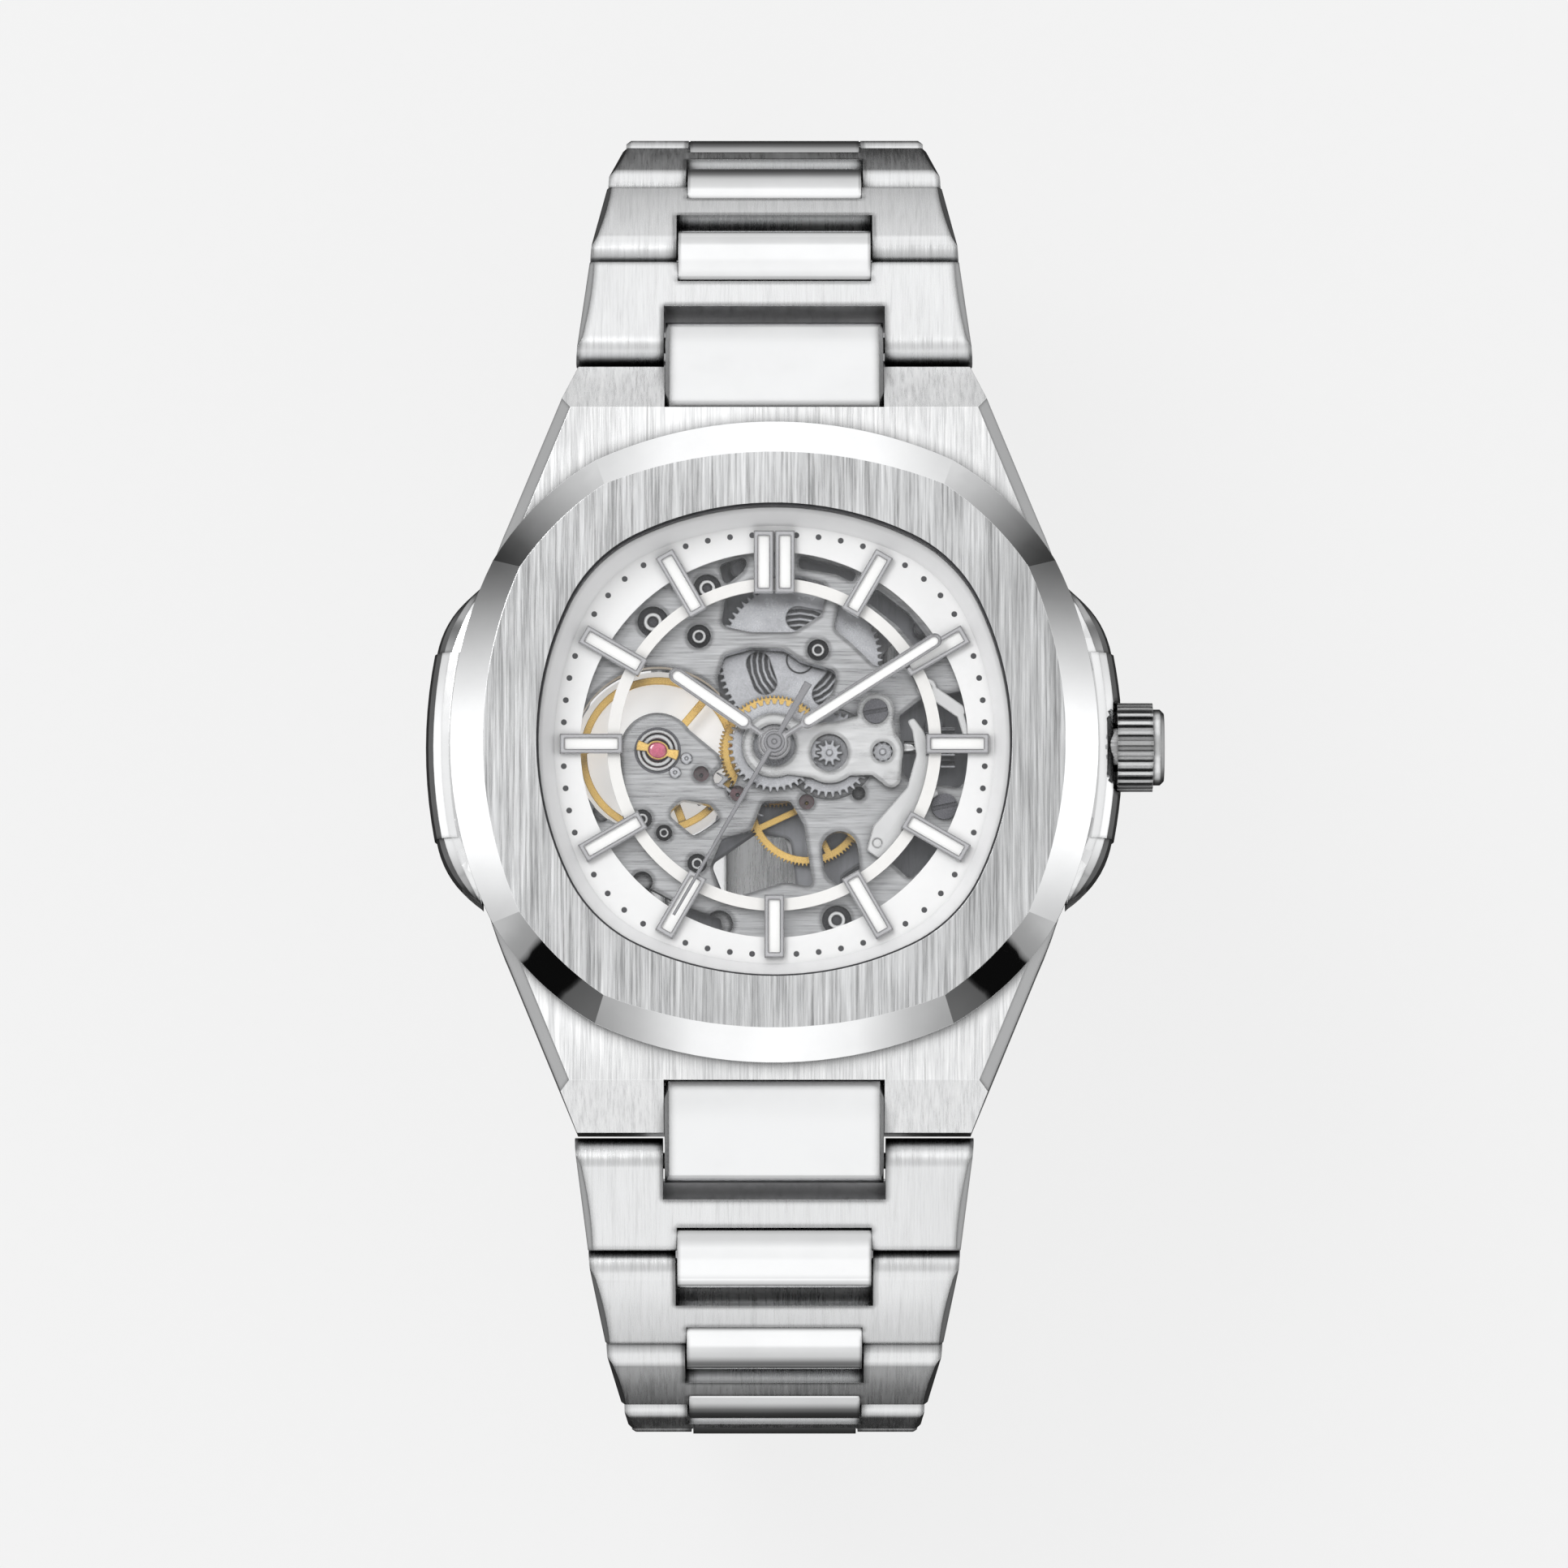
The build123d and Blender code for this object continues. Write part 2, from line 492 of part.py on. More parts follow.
def jewels():
    made = [ring(JEWEL_R, JEWEL_BORE, PLATE_BOTTOM, PLATE_BOTTOM + 0.35, at).solid() for at in PLATE_JEWELS]
    balance_jewel = disc(0.42, PLATE_TOP - 0.5, PLATE_TOP - 0.15, BALANCE_AT)
    made.append(balance_jewel.solid())
    made += [ring(JEWEL_R, JEWEL_BORE, BRIDGE_BOTTOM, BRIDGE_TOP, at).solid() for at in BRIDGE_JEWELS]
    made.append(ring(0.26, JEWEL_BORE, *PALLET_BRIDGE_Z, FORK_AT).solid())
    return Compound(made)


BALANCE_COCK_FOOT = (-8.6, -8.4)
PALLET_POST, PALLET_BRIDGE_Z = (-6.9, -3.4), (3.8, 3.95)
BRIDGE_POSTS = ((9.9, 1.5), (7.6, -8.4), (-2.2, 11.2), (9.2, 7.6))


def train_bridge():
    """Back bridge: carries the train's lower pivots and the rotor's bearing."""
    sketch = circle(12.9) - circle(5.4, BALANCE_AT)
    sketch -= Polygon((-13, 3.0), (-13, -9.2), (-6.4, -9.7), (-5.0, -5.2), (-4.0, 1), align=None)
    sketch -= circle(1.3, BALANCE_COCK_FOOT)
    sketch += circle(0.9, ESCAPE_AT)
    sketch -= blob([(-3.9, -7.0), (-1.0, -5.0), (1.0, -5.4), (1.5, -9.5), (-2.5, -10.5)], 0.5)
    sketch -= blob([(3.9, -7.9), (5.9, -6.6), (8.8, -9.2), (6.4, -10.6)], 0.5)
    sketch -= blob([(4.7, 9.4), (8.0, 6.8), (7.2, 4.3), (5.4, 7.0)], 0.4)
    body = prism(sketch, BRIDGE_BOTTOM, BRIDGE_TOP)
    for at in BRIDGE_POSTS:
        body += disc(0.55, BRIDGE_TOP, PLATE_BOTTOM, at)
    for at in BRIDGE_JEWELS:
        body -= disc(JEWEL_R, 0, BRIDGE_TOP + 1, at)
    body += disc(0.56, 1.6, BRIDGE_BOTTOM) + disc(0.95, 1.6, 1.68)
    body -= disc(0.19, 2.3, 4) + disc(0.42, 0, 4, BARREL_AT)
    return largest(body)


def balance_cock():
    """Arm that holds the balance's back pivot, on its own post at the rim of the plate."""
    sketch = stadium(BALANCE_COCK_FOOT, BALANCE_AT, 2.0) + circle(1.35, BALANCE_AT)
    body = prism(sketch, BRIDGE_BOTTOM, BRIDGE_TOP)
    body += disc(0.95, BRIDGE_TOP, PLATE_BOTTOM, BALANCE_COCK_FOOT)
    return body - disc(0.19, 0, BRIDGE_TOP + 1, BALANCE_AT)


def pallet_bridge():
    """Small arm between the balance and the plate that holds the pallet fork's back pivot."""
    low, high = PALLET_BRIDGE_Z
    body = prism(stadium(PALLET_POST, FORK_AT, 0.8), low, high) + disc(0.38, high, PLATE_BOTTOM, PALLET_POST)
    return body - disc(0.26, 0, 5, FORK_AT)


def movement_bridges():
    return Compound([largest(part) for part in (train_bridge(), balance_cock(), pallet_bridge())])


def motion_cover():
    """Cover plate over the motion work, with holes that show the pinions."""
    sketch = circle(2.0) + stadium(CENTRE, MINUTE_WHEEL_AT, 3.4) + circle(1.9, MINUTE_WHEEL_AT)
    sketch += stadium(MINUTE_WHEEL_AT, (6.5, -0.4), 2.9) + circle(1.15, COVER_SCREW_AT)
    sketch += Polygon((3.2, 1.3), COVER_SCREW_AT, (7.3, 1.7), (7.6, 0.2), (5.0, -0.5), align=None)
    sketch += circle(0.62, (7.2, -2.0))
    sketch += Polygon((5.4, -1.4), (6.9, -2.5), (7.8, -2.0), (7.9, -0.6), align=None)
    body = prism(sketch, 6.95, 7.13) - disc(1.3, 6, 8) - disc(1.15, 6, 8, MINUTE_WHEEL_AT)
    body -= disc(0.62, 6, 8, SETTING_WHEEL_AT)
    body += disc(0.85, PLATE_TOP, 6.95, COVER_SCREW_AT) + disc(0.38, PLATE_TOP, 6.95, (7.2, -2.0))
    return body - disc(0.36, 5, 8, COVER_SCREW_AT) - disc(0.77, 7.0, 8, COVER_SCREW_AT)


# ================================================================ going train
def arbor(at, z0, z1, radius=0.15):
    """Shaft with a thinner pivot at each end."""
    return disc(radius, z0 + 0.1, z1 - 0.1, at) + disc(0.1, z0 - 0.15, z1 + 0.15, at)


BARREL_FIRST = 0.0
CENTRE_LINE = line_of(BARREL_AT, CENTRE)
CENTRE_PINION_FIRST = mate(BARREL_FIRST, BARREL_TEETH, CENTRE_LEAVES, CENTRE_LINE)
CENTRE_WHEEL_FIRST = 0.0
THIRD_PINION_FIRST = mate(CENTRE_WHEEL_FIRST, CENTRE_TEETH, THIRD_LEAVES, line_of(CENTRE, THIRD_AT))
THIRD_WHEEL_FIRST = 0.0
FOURTH_PINION_FIRST = mate(THIRD_WHEEL_FIRST, THIRD_TEETH, FOURTH_LEAVES, line_of(THIRD_AT, CENTRE))
FOURTH_WHEEL_FIRST = 0.0
ESCAPE_PINION_FIRST = mate(FOURTH_WHEEL_FIRST, FOURTH_TEETH, ESCAPE_LEAVES, line_of(CENTRE, ESCAPE_AT))
CANNON_FIRST = 0.0
MINUTE_FIRST = mate(CANNON_FIRST, CANNON_LEAVES, MINUTE_TEETH, line_of(CENTRE, MINUTE_WHEEL_AT))
MINUTE_PINION_FIRST = 0.0
HOUR_FIRST = mate(MINUTE_PINION_FIRST, MINUTE_LEAVES, HOUR_TEETH, line_of(MINUTE_WHEEL_AT, CENTRE))
SETTING_FIRST = mate(MINUTE_FIRST, MINUTE_TEETH, SETTING_TEETH, line_of(MINUTE_WHEEL_AT, SETTING_WHEEL_AT))


def barrel():
    module = module_of(BARREL_AT, CENTRE, BARREL_TEETH, CENTRE_LEAVES)
    drum = ring(4.7, 4.45, 3.3, 4.2, BARREL_AT) + ring(4.6, 0.85, 3.3, 3.48, BARREL_AT)
    toothed = gear_outline(BARREL_TEETH, module, BARREL_AT, BARREL_FIRST) - circle(0.85, BARREL_AT)
    for i in range(3):
        start = 120 * i + 65
        toothed -= stadium(polar(2.6, start, BARREL_AT), polar(2.6, start + 28, BARREL_AT), 1.5)
    return drum + prism(toothed, 4.1, 4.35)


def mainspring():
    return spiral(BARREL_AT, 1.05, 4.3, 9, 0.16, 3.52, 4.05)


def barrel_arbor():
    ratchet = gear_outline(30, 0.138, BARREL_AT, 3.0)
    body = prism(ratchet, 2.93, 3.2)
    for radius, low, high in ((0.8, 3.2, 4.45), (0.38, BRIDGE_BOTTOM, 2.93), (0.17, 4.45, 5.5)):
        body += disc(radius, low, high, BARREL_AT)
    return body


def centre_wheel():
    module = module_of(CENTRE, THIRD_AT, CENTRE_TEETH, THIRD_LEAVES)
    pinion_module = module_of(BARREL_AT, CENTRE, BARREL_TEETH, CENTRE_LEAVES)
    wheel = wheel_outline(CENTRE_TEETH, module, CENTRE, CENTRE_WHEEL_FIRST, 0.75, 5, 0.42)
    body = prism(wheel, 4.5, 4.62)
    body += prism(gear_outline(CENTRE_LEAVES, pinion_module, CENTRE, CENTRE_PINION_FIRST), 3.95, 4.4)
    body += disc(0.34, 3.95, 6.9)
    return body - disc(0.2, 3, 8)


def third_wheel():
    module = module_of(THIRD_AT, CENTRE, THIRD_TEETH, FOURTH_LEAVES)
    pinion_module = module_of(CENTRE, THIRD_AT, CENTRE_TEETH, THIRD_LEAVES)
    wheel = wheel_outline(THIRD_TEETH, module, THIRD_AT, THIRD_WHEEL_FIRST, 0.6, 4, 0.4)
    body = prism(wheel, 3.3, 3.42) + arbor(THIRD_AT, BRIDGE_TOP, PLATE_BOTTOM)
    return body + prism(gear_outline(THIRD_LEAVES, pinion_module, THIRD_AT, THIRD_PINION_FIRST), 4.42, 4.72)


def fourth_wheel():
    """Wheel that turns once a minute; its long arbor carries the seconds hand."""
    module = module_of(CENTRE, ESCAPE_AT, FOURTH_TEETH, ESCAPE_LEAVES)
    pinion_module = module_of(THIRD_AT, CENTRE, THIRD_TEETH, FOURTH_LEAVES)
    wheel = wheel_outline(FOURTH_TEETH, module, CENTRE, FOURTH_WHEEL_FIRST, 0.6, 4, 0.4)
    body = prism(wheel, 3.0, 3.12)
    body += prism(gear_outline(FOURTH_LEAVES, pinion_module, CENTRE, FOURTH_PINION_FIRST), 3.12, 3.5)
    return body + disc(0.16, 2.6, 9.3)


def escape_wheel():
    module = module_of(CENTRE, ESCAPE_AT, FOURTH_TEETH, ESCAPE_LEAVES)
    points = []
    for i in range(ESCAPE_TEETH):
        for radius, turn in ((1.45, 0), (1.98, 9.5), (1.98, 12.5), (1.5, 8.0), (1.45, 12)):
            points.append(polar(radius, i * 360 / ESCAPE_TEETH + turn, ESCAPE_AT))
    sketch = Polygon(*points, align=None) - circle(1.2, ESCAPE_AT)
    for i in range(5):
        sketch += stadium(ESCAPE_AT, polar(1.3, 72 * i, ESCAPE_AT), 0.2)
    body = prism(sketch + circle(0.3, ESCAPE_AT), 4.05, 4.19) + arbor(ESCAPE_AT, BRIDGE_TOP, PLATE_BOTTOM)
    return body + prism(gear_outline(ESCAPE_LEAVES, module, ESCAPE_AT, ESCAPE_PINION_FIRST), 2.98, 3.3)


def pallet_fork():
    """Lever with two ruby pallets over the escape wheel and a fork towards the balance."""
    towards = FORK_DIRECTION
    sketch = stadium(FORK_AT, polar(2.2, towards, FORK_AT), 0.3)
    for side in (1, -1):
        pallet = polar(2.42, towards + 38 * side, ESCAPE_AT)
        sketch += stadium(FORK_AT, pallet, 0.3)
        root = polar(2.15, towards, FORK_AT)
        sketch += stadium(root, polar(0.36, towards + 42 * side, root), 0.14)
    return prism(sketch + circle(0.36, FORK_AT), 4.05, 4.19) + arbor(FORK_AT, 3.95, PLATE_BOTTOM)


def balance_wheel():
    rim = circle(4.85, BALANCE_AT) - circle(4.4, BALANCE_AT)
    spokes = circle(0.7, BALANCE_AT)
    for i in range(3):
        spokes += stadium(BALANCE_AT, polar(4.6, 50 + 120 * i, BALANCE_AT), 0.5)
    body = prism(rim, 3.3, 3.7) + prism(spokes, 3.4, 3.58)
    body += disc(0.16, BRIDGE_TOP + 0.05, 4.95, BALANCE_AT) + disc(0.1, 2.6, 5.2, BALANCE_AT)
    return body + disc(0.5, 4.05, 4.4, BALANCE_AT)


def hairspring():
    collet = ring(0.42, 0.17, 2.96, 3.16, BALANCE_AT)
    return collet + spiral(BALANCE_AT, 0.42, 2.3, 8, 0.07, 2.96, 3.16)


# ================================================================ motion work
def cannon_pinion():
    module = module_of(CENTRE, MINUTE_WHEEL_AT, CANNON_LEAVES, MINUTE_TEETH)
    body = prism(gear_outline(CANNON_LEAVES, module, CENTRE, CANNON_FIRST), 6.35, 6.62)
    body += disc(0.52, 6.35, 8.94)
    return body - disc(0.34, 6, 6.9) - disc(0.2, 6, 10)


def minute_wheel():
    module = module_of(CENTRE, MINUTE_WHEEL_AT, CANNON_LEAVES, MINUTE_TEETH)
    pinion_module = module_of(MINUTE_WHEEL_AT, CENTRE, MINUTE_LEAVES, HOUR_TEETH)
    body = prism(gear_outline(MINUTE_TEETH, module, MINUTE_WHEEL_AT, MINUTE_FIRST), 6.36, 6.54)
    pinion = gear_outline(MINUTE_LEAVES, pinion_module, MINUTE_WHEEL_AT, MINUTE_PINION_FIRST)
    body += prism(pinion, 6.54, 6.92)
    return body + disc(0.18, 5.6, 7.05, MINUTE_WHEEL_AT)


def setting_wheel():
    module = module_of(CENTRE, MINUTE_WHEEL_AT, CANNON_LEAVES, MINUTE_TEETH)
    body = prism(gear_outline(SETTING_TEETH, module, SETTING_WHEEL_AT, SETTING_FIRST), 6.36, 6.88)
    return body + disc(0.18, 5.6, 7.0, SETTING_WHEEL_AT)


def hour_wheel():
    module = module_of(MINUTE_WHEEL_AT, CENTRE, MINUTE_LEAVES, HOUR_TEETH)
    body = prism(gear_outline(HOUR_TEETH, module, CENTRE, HOUR_FIRST), 6.68, 6.86) + disc(0.8, 6.68, 8.6)
    return body - disc(0.56, 6, 9)


# ================================================================ winding and setting
def rotor():
    """Oscillating weight: a half disc with a heavy rim, on a central bearing."""
    half = circle(12.6) & (Rot(0, 0, -10) * Pos(10, 0) * Rectangle(20, 40))
    web = half - (circle(10.2) - circle(5.2)) + circle(2.2)
    for turn in (-70, -10, 50):
        web += stadium((0, 0), polar(10.8, turn), 2.4)
    rim = half - circle(10.4)
    body = prism(web, 1.72, 1.95) + prism(rim, 1.72, 2.38)
    return body + disc(2.2, 1.72, 2.3) - disc(0.6, 1, 3)


def crown():
    flutes = 26
    points = []
    for i in range(flutes):
        for radius, share in ((2.5, -0.3), (2.75, -0.2), (2.75, 0.2), (2.5, 0.3)):
            points.append(polar(radius, (i + share) * 360 / flutes))
    body = extrude(Polygon(*points, align=None), 2.2)
    body = body & extrude(Circle(2.8), 2.2)
    cap = Pos(0, 0, 2.2 + 0.35) * Cylinder(2.35, 0.7)
    cap = chamfer(cap.edges().group_by(Axis.Z)[-1], 0.25)
    body = body + cap - Pos(0, 0, 0.8) * Cylinder(1.56, 1.9) - Pos(0, 0, 1.2) * Cylinder(0.6, 1.6)
    body -= Pos(0, 0, 0.42) * Cylinder(1.78, 0.36)
    return Pos(21.15, 0, STEM_Z) * Rot(0, 90, 0) * body


def winding_stem():
    thin = bar_along_x(0.42, 8.0, 12.9, 0, STEM_Z)
    thick = bar_along_x(0.6, 12.9, 23.1, 0, STEM_Z)
    groove = bar_along_x(0.8, 13.4, 13.9, 0, STEM_Z) - bar_along_x(0.4, 13, 14, 0, STEM_Z)
    return thin + thick - groove


def toothed_along_x(teeth, module, x0, x1):
    return Pos(x0, 0, STEM_Z) * Rot(0, 90, 0) * extrude(gear_outline(teeth, module), x1 - x0)


def winding_pinion():
    return toothed_along_x(16, 0.14, 10.25, 11.15) - bar_along_x(0.46, 10, 12, 0, STEM_Z)


def sliding_clutch():
    body = toothed_along_x(12, 0.14, 8.75, 9.0) + toothed_along_x(12, 0.14, 9.35, 10.0)
    body += bar_along_x(0.62, 9.0, 9.35, 0, STEM_Z)
    return body - bar_along_x(0.46, 8, 12, 0, STEM_Z)


def yoke():
    """Lever whose peg rides in the clutch's groove."""
    inner_side = [(5.7, -6.5), (6.1, -5.0), (8.2, -2.6), (8.75, -0.6), (8.5, 0.9), (8.2, 1.5), (8.6, 1.7)]
    outer_side = [(9.2, 0.9), (9.75, -0.5), (9.6, -2.3), (10.2, -3.0), (9.3, -3.6), (7.5, -6.4), (6.4, -7.0)]
    sketch = blob(inner_side + outer_side, 0.17)
    body = prism(sketch, 6.86, 7.06) + disc(0.12, 6.36, 6.86, (9.17, 0.0))
    return body + disc(0.28, 5.6, 6.86, YOKE_PIVOT) - disc(0.3, 7.0, 8, YOKE_PIVOT)


def setting_lever():
    """Lever that the stem's shoulder swings when the crown is pulled."""
    sketch = stadium(LEVER_PIVOT, (11.4, 2.2), 0.8) + stadium((11.4, 2.2), (11.9, 0.6), 0.45)
    sketch += circle(0.62, LEVER_PIVOT) + stadium(LEVER_PIVOT, (8.7, 4.6), 0.6)
    return prism(sketch, 6.36, 6.56) + disc(0.28, 5.6, 6.7, LEVER_PIVOT)


# ================================================================ bracelet
def row_frame(index):
    """(y, z, slope) of row number index (0 is the first) on the 12 o'clock side."""
    y, z = FIRST_PIVOT
    for angle in ROW_ANGLES[:index]:
        y += PITCH * cos(radians(angle))
        z -= PITCH * sin(radians(angle))
    slope = ROW_ANGLES[index] if index < len(ROW_ANGLES) else 180
    return y, z, slope


def tapered_side(sign, half, at_s, lean):
    """Everything inwards of one leaning side face whose top edge is broken."""
    edge = half - 2 * EDGE_BREAK
    shoulder, top = LINK_R - EDGE_BREAK, LINK_R + EDGE_BREAK
    cross = Polygon((-30 * sign, -3), (half * sign, -3), (half * sign, shoulder), (edge * sign, top),
                    (-30 * sign, top), align=None)
    block = extrude(Plane.XZ * cross, 20, both=True)
    return Pos(half * sign, at_s, 0) * Rot(0, 0, lean) * Pos(-half * sign, 0, 0) * block


def outer_link(index):
    """Brushed H-shaped link: two wings joined by a bridge, narrowing away from the case."""
    near_w, far_w = ROW_WIDTHS[index], ROW_WIDTHS[index + 1] + 0.45
    end = PITCH - LINK_R - 0.16
    slab = make_face(Curve() + [
        Line((0, -LINK_R), (0, LINK_R)),
        ThreePointArc((0, LINK_R), (end / 2, LINK_R + LINK_BULGE), (end, LINK_R)),
        Line((end, LINK_R), (end, -LINK_R)),
        Line((end, -LINK_R), (0, -LINK_R)),
    ])
    profile = Circle(LINK_R) + slab
    profile = fillet(profile.vertices().group_by(Axis.X)[-1], 0.35)
    body = extrude(Plane.YZ * profile, near_w, both=True)
    lean = degrees(atan2((near_w - far_w) / 2, end))
    for sign in (1, -1):
        body = body & tapered_side(sign, (near_w + far_w) / 4, end / 2, sign * lean)
    near_slot = CENTRE_WIDTHS[index] / 2 + SIDE_PLAY
    far_slot = CENTRE_WIDTHS[index + 1] / 2 + 0.02
    body -= Pos(0, (BRIDGE_START - 5) / 2, 0) * Box(2 * near_slot, BRIDGE_START + 5, 6)
    body -= Pos(0, BRIDGE_END + 3, 0) * Box(2 * far_slot, 6, 6)
    return body - link_pins(index)


def centre_link(index, near=BRIDGE_END + 0.12, crown=0.3):
    """Polished centre piece: fixed to its outer link, with a round end bored for the next row's pin."""
    width = CENTRE_WIDTHS[index + 1]
    end_r = LINK_R - 0.04
    top = end_r + crown
    length = PITCH - near
    slab = Pos(near + length / 2, -end_r / 2) * Rectangle(length, end_r)
    slab += make_face(Curve() + [
        Line((near, 0), (near, end_r)),
        ThreePointArc((near, end_r), ((near + PITCH) / 2, top), (PITCH + 0.35, end_r - 0.06)),
        Line((PITCH + 0.35, end_r - 0.06), (PITCH + 0.35, 0)),
        Line((PITCH + 0.35, 0), (near, 0)),
    ])
    profile = slab + Pos(PITCH, 0) * Circle(end_r)
    profile = fillet(profile.vertices().group_by(Axis.X)[0], 0.4)
    body = extrude(Plane.YZ * profile, width / 2, both=True)
    body -= bar_along_x(PIN_R + PIN_PLAY, -20, 20, PITCH, 0)
    return body - bar_along_x(PIN_R, -20, 20, fixed_pin_at(), 0)


def fixed_pin_at():
    return BRIDGE_END + 1.0


def link_pins(index):
    """The pivot pin at the row's near end and the pressed pin that holds its centre link."""
    near = bar_along_x(PIN_R, -ROW_WIDTHS[index] / 2 + 0.9, ROW_WIDTHS[index] / 2 - 0.9, 0, 0)
    half = ROW_WIDTHS[index + 1] / 2 - 0.8
    return near + bar_along_x(PIN_R, -half, half, fixed_pin_at(), 0)


def place_row(shape, index, side):
    """Moves a row from its own (s, t) frame into the closed bracelet. side is +1 at 12 o'clock, -1 at 6."""
    y, z, slope = row_frame(index)
    placed = Pos(0, y, z) * Rot(-slope, 0, 0) * shape
    return placed if side > 0 else mirror(placed, Plane.XZ)


def bracelet_row(index, side):
    pieces = outer_link(index).solids() + centre_link(index).solids() + link_pins(index).solids()
    if side < 0 and index == len(ROW_ANGLES) - 1:
        pieces += spring_bar().solids()
    return Compound([place_row(p, index, side).solid() for p in pieces])


def end_links():
    """Polished links that fill the notch between the lugs, each held by its own cross pin."""
    y1, z1 = FIRST_PIVOT
    y0 = LUG_RIDGE_Y + 0.06
    outline = make_face(Curve() + [
        Line((y0, 1.9), (y0, 8.3)),
        ThreePointArc((y0, 8.3), (23.4, 6.9), (y1 + 1.0, z1 + 1.42)),
        ThreePointArc((y1 + 1.0, z1 + 1.42), (y1 + 1.36, z1), (y1, z1 - 1.36)),
        Line((y1, z1 - 1.36), (y0, 1.9)),
    ])
    body = extrude(Plane.YZ * outline, CENTRE_WIDTHS[0] / 2, both=True)
    rims = [e for e in body.edges() if abs(e.center().X) > 6 and e.center().Z > 5 and e.length > 3]
    body = chamfer(rims, 0.25)
    body -= bar_along_x(PIN_R + PIN_PLAY, -20, 20, y1, z1)
    pin = bar_along_x(0.6, -11.2, 11.2, 22.5, 3.3)
    upper = [(body - pin).solid(), pin.solid()]
    return Compound(upper + [mirror(p, Plane.XZ) for p in upper])


# ================================================================ clasp
CLASP_SAG = 1.6                             # how far the clasp bows outwards in the middle
COVER_WIDTH, BLADE_WIDTH = 16.3, 12.4
# Offsets from the clasp's middle line; outwards is minus.
SHELL_LOW, SHELL_HIGH, WALL_HIGH = -2.0, -1.25, 1.0
MIDDLE_LOW, MIDDLE_HIGH = -0.95, -0.35
INNER_LOW, INNER_TOP = 0.0, 0.6
COVER_HINGE_Y, BLADE_HINGE_Y = -16.5, 15.5
COVER_HINGE_OFFSET, BLADE_HINGE_OFFSET = -0.7, -0.15
KNUCKLE_R, HINGE_PIN_R, END_EAR_R = 0.65, 0.3, 1.1
TONGUE_HALF = 3.0                           # half width of the middle blade's end knuckle
SPRING_TIP_R = 0.3
CLASP_Y, CLASP_Z, _ = row_frame(len(ROW_ANGLES))


def clasp_line(y, outward=0.0):
    """Height of the clasp's middle line at y, plus an offset."""
    return CLASP_Z - CLASP_SAG * (1 - (y / CLASP_Y) ** 2) + outward


def bowed_band(y0, y1, low, high):
    """Curved strip in the (y, z) plane between two offsets from the clasp's middle line."""
    middle = (y0 + y1) / 2
    a, b = (y0, clasp_line(y0, low)), (y1, clasp_line(y1, low))
    c, d = (y1, clasp_line(y1, high)), (y0, clasp_line(y0, high))
    return Plane.YZ * make_face(Curve() + [
        ThreePointArc(a, (middle, clasp_line(middle, low)), b), Line(b, c),
        ThreePointArc(c, (middle, clasp_line(middle, high)), d), Line(d, a),
    ])


def bowed_plate(y0, y1, low, high, width):
    return extrude(bowed_band(y0, y1, low, high), width / 2, both=True)


def hinge_bar(y, offset_z, radius, x0, x1):
    """Round bar across the clasp between x0 and x1, and its mirror image."""
    z = clasp_line(y, offset_z)
    return bar_along_x(radius, x0, x1, y, z) + bar_along_x(radius, -x1, -x0, y, z)


def clasp_cover():
    """Outer shell of the folding clasp, pinned to the 12 o'clock side, with walls round the blades."""
    wall, rounded_end = 0.9, 0.55
    near, far = COVER_HINGE_Y - rounded_end, CLASP_Y - 1.6
    half = COVER_WIDTH / 2
    body = bowed_plate(near, far, SHELL_LOW, SHELL_HIGH, COVER_WIDTH)
    walls = bowed_plate(near, far, SHELL_LOW, WALL_HIGH, COVER_WIDTH)
    body += walls - bowed_plate(near - 2, far + 2, -4, 4, COVER_WIDTH - 2 * wall)
    body += bowed_plate(far - 3.0, far, SHELL_LOW, WALL_HIGH, COVER_WIDTH)
    arm_inner = CENTRE_WIDTHS[-1] / 2 + SIDE_PLAY
    arm_width = half - arm_inner
    for sign in (1, -1):
        middle_x = sign * (arm_inner + half) / 2
        body += Pos(middle_x, (far + CLASP_Y) / 2 - 0.3, CLASP_Z) * Box(arm_width, CLASP_Y - far + 0.6, 2.2)
        body += bar_along_x(1.25, middle_x - arm_width / 2, middle_x + arm_width / 2, CLASP_Y, CLASP_Z)
        body -= button_shape(sign, 0.05)
    body -= hinge_bar(COVER_HINGE_Y, COVER_HINGE_OFFSET, KNUCKLE_R + 0.12, 0, BLADE_WIDTH / 2 + 0.2)
    pivot_pin = bar_along_x(PIN_R, -half + 0.8, half - 0.8, CLASP_Y, CLASP_Z)
    hinge_z = clasp_line(COVER_HINGE_Y, COVER_HINGE_OFFSET)
    hinge_pin = bar_along_x(HINGE_PIN_R, -half + 0.4, half - 0.4, COVER_HINGE_Y, hinge_z)
    body -= pivot_pin + hinge_pin
    return Compound([body.solid(), pivot_pin.solid(), hinge_pin.solid()])


def button_shape(sign, play=0.0, inner=7.0, outer=8.85):
    """Round-ended push button through the cover's side wall."""
    profile = Pos(0, clasp_line(0, -0.35)) * SlotCenterToCenter(3.4, 1.3 + 2 * play)
    button = extrude(Plane.YZ * profile, outer - inner)
    button = Pos(inner, 0, 0) * button
    return button if sign > 0 else mirror(button, Plane.YZ)


def clasp_button(sign):
    body = button_shape(sign)
    edges = body.edges().group_by(Axis.X)[-1 if sign > 0 else 0]
    return chamfer(edges, 0.25)


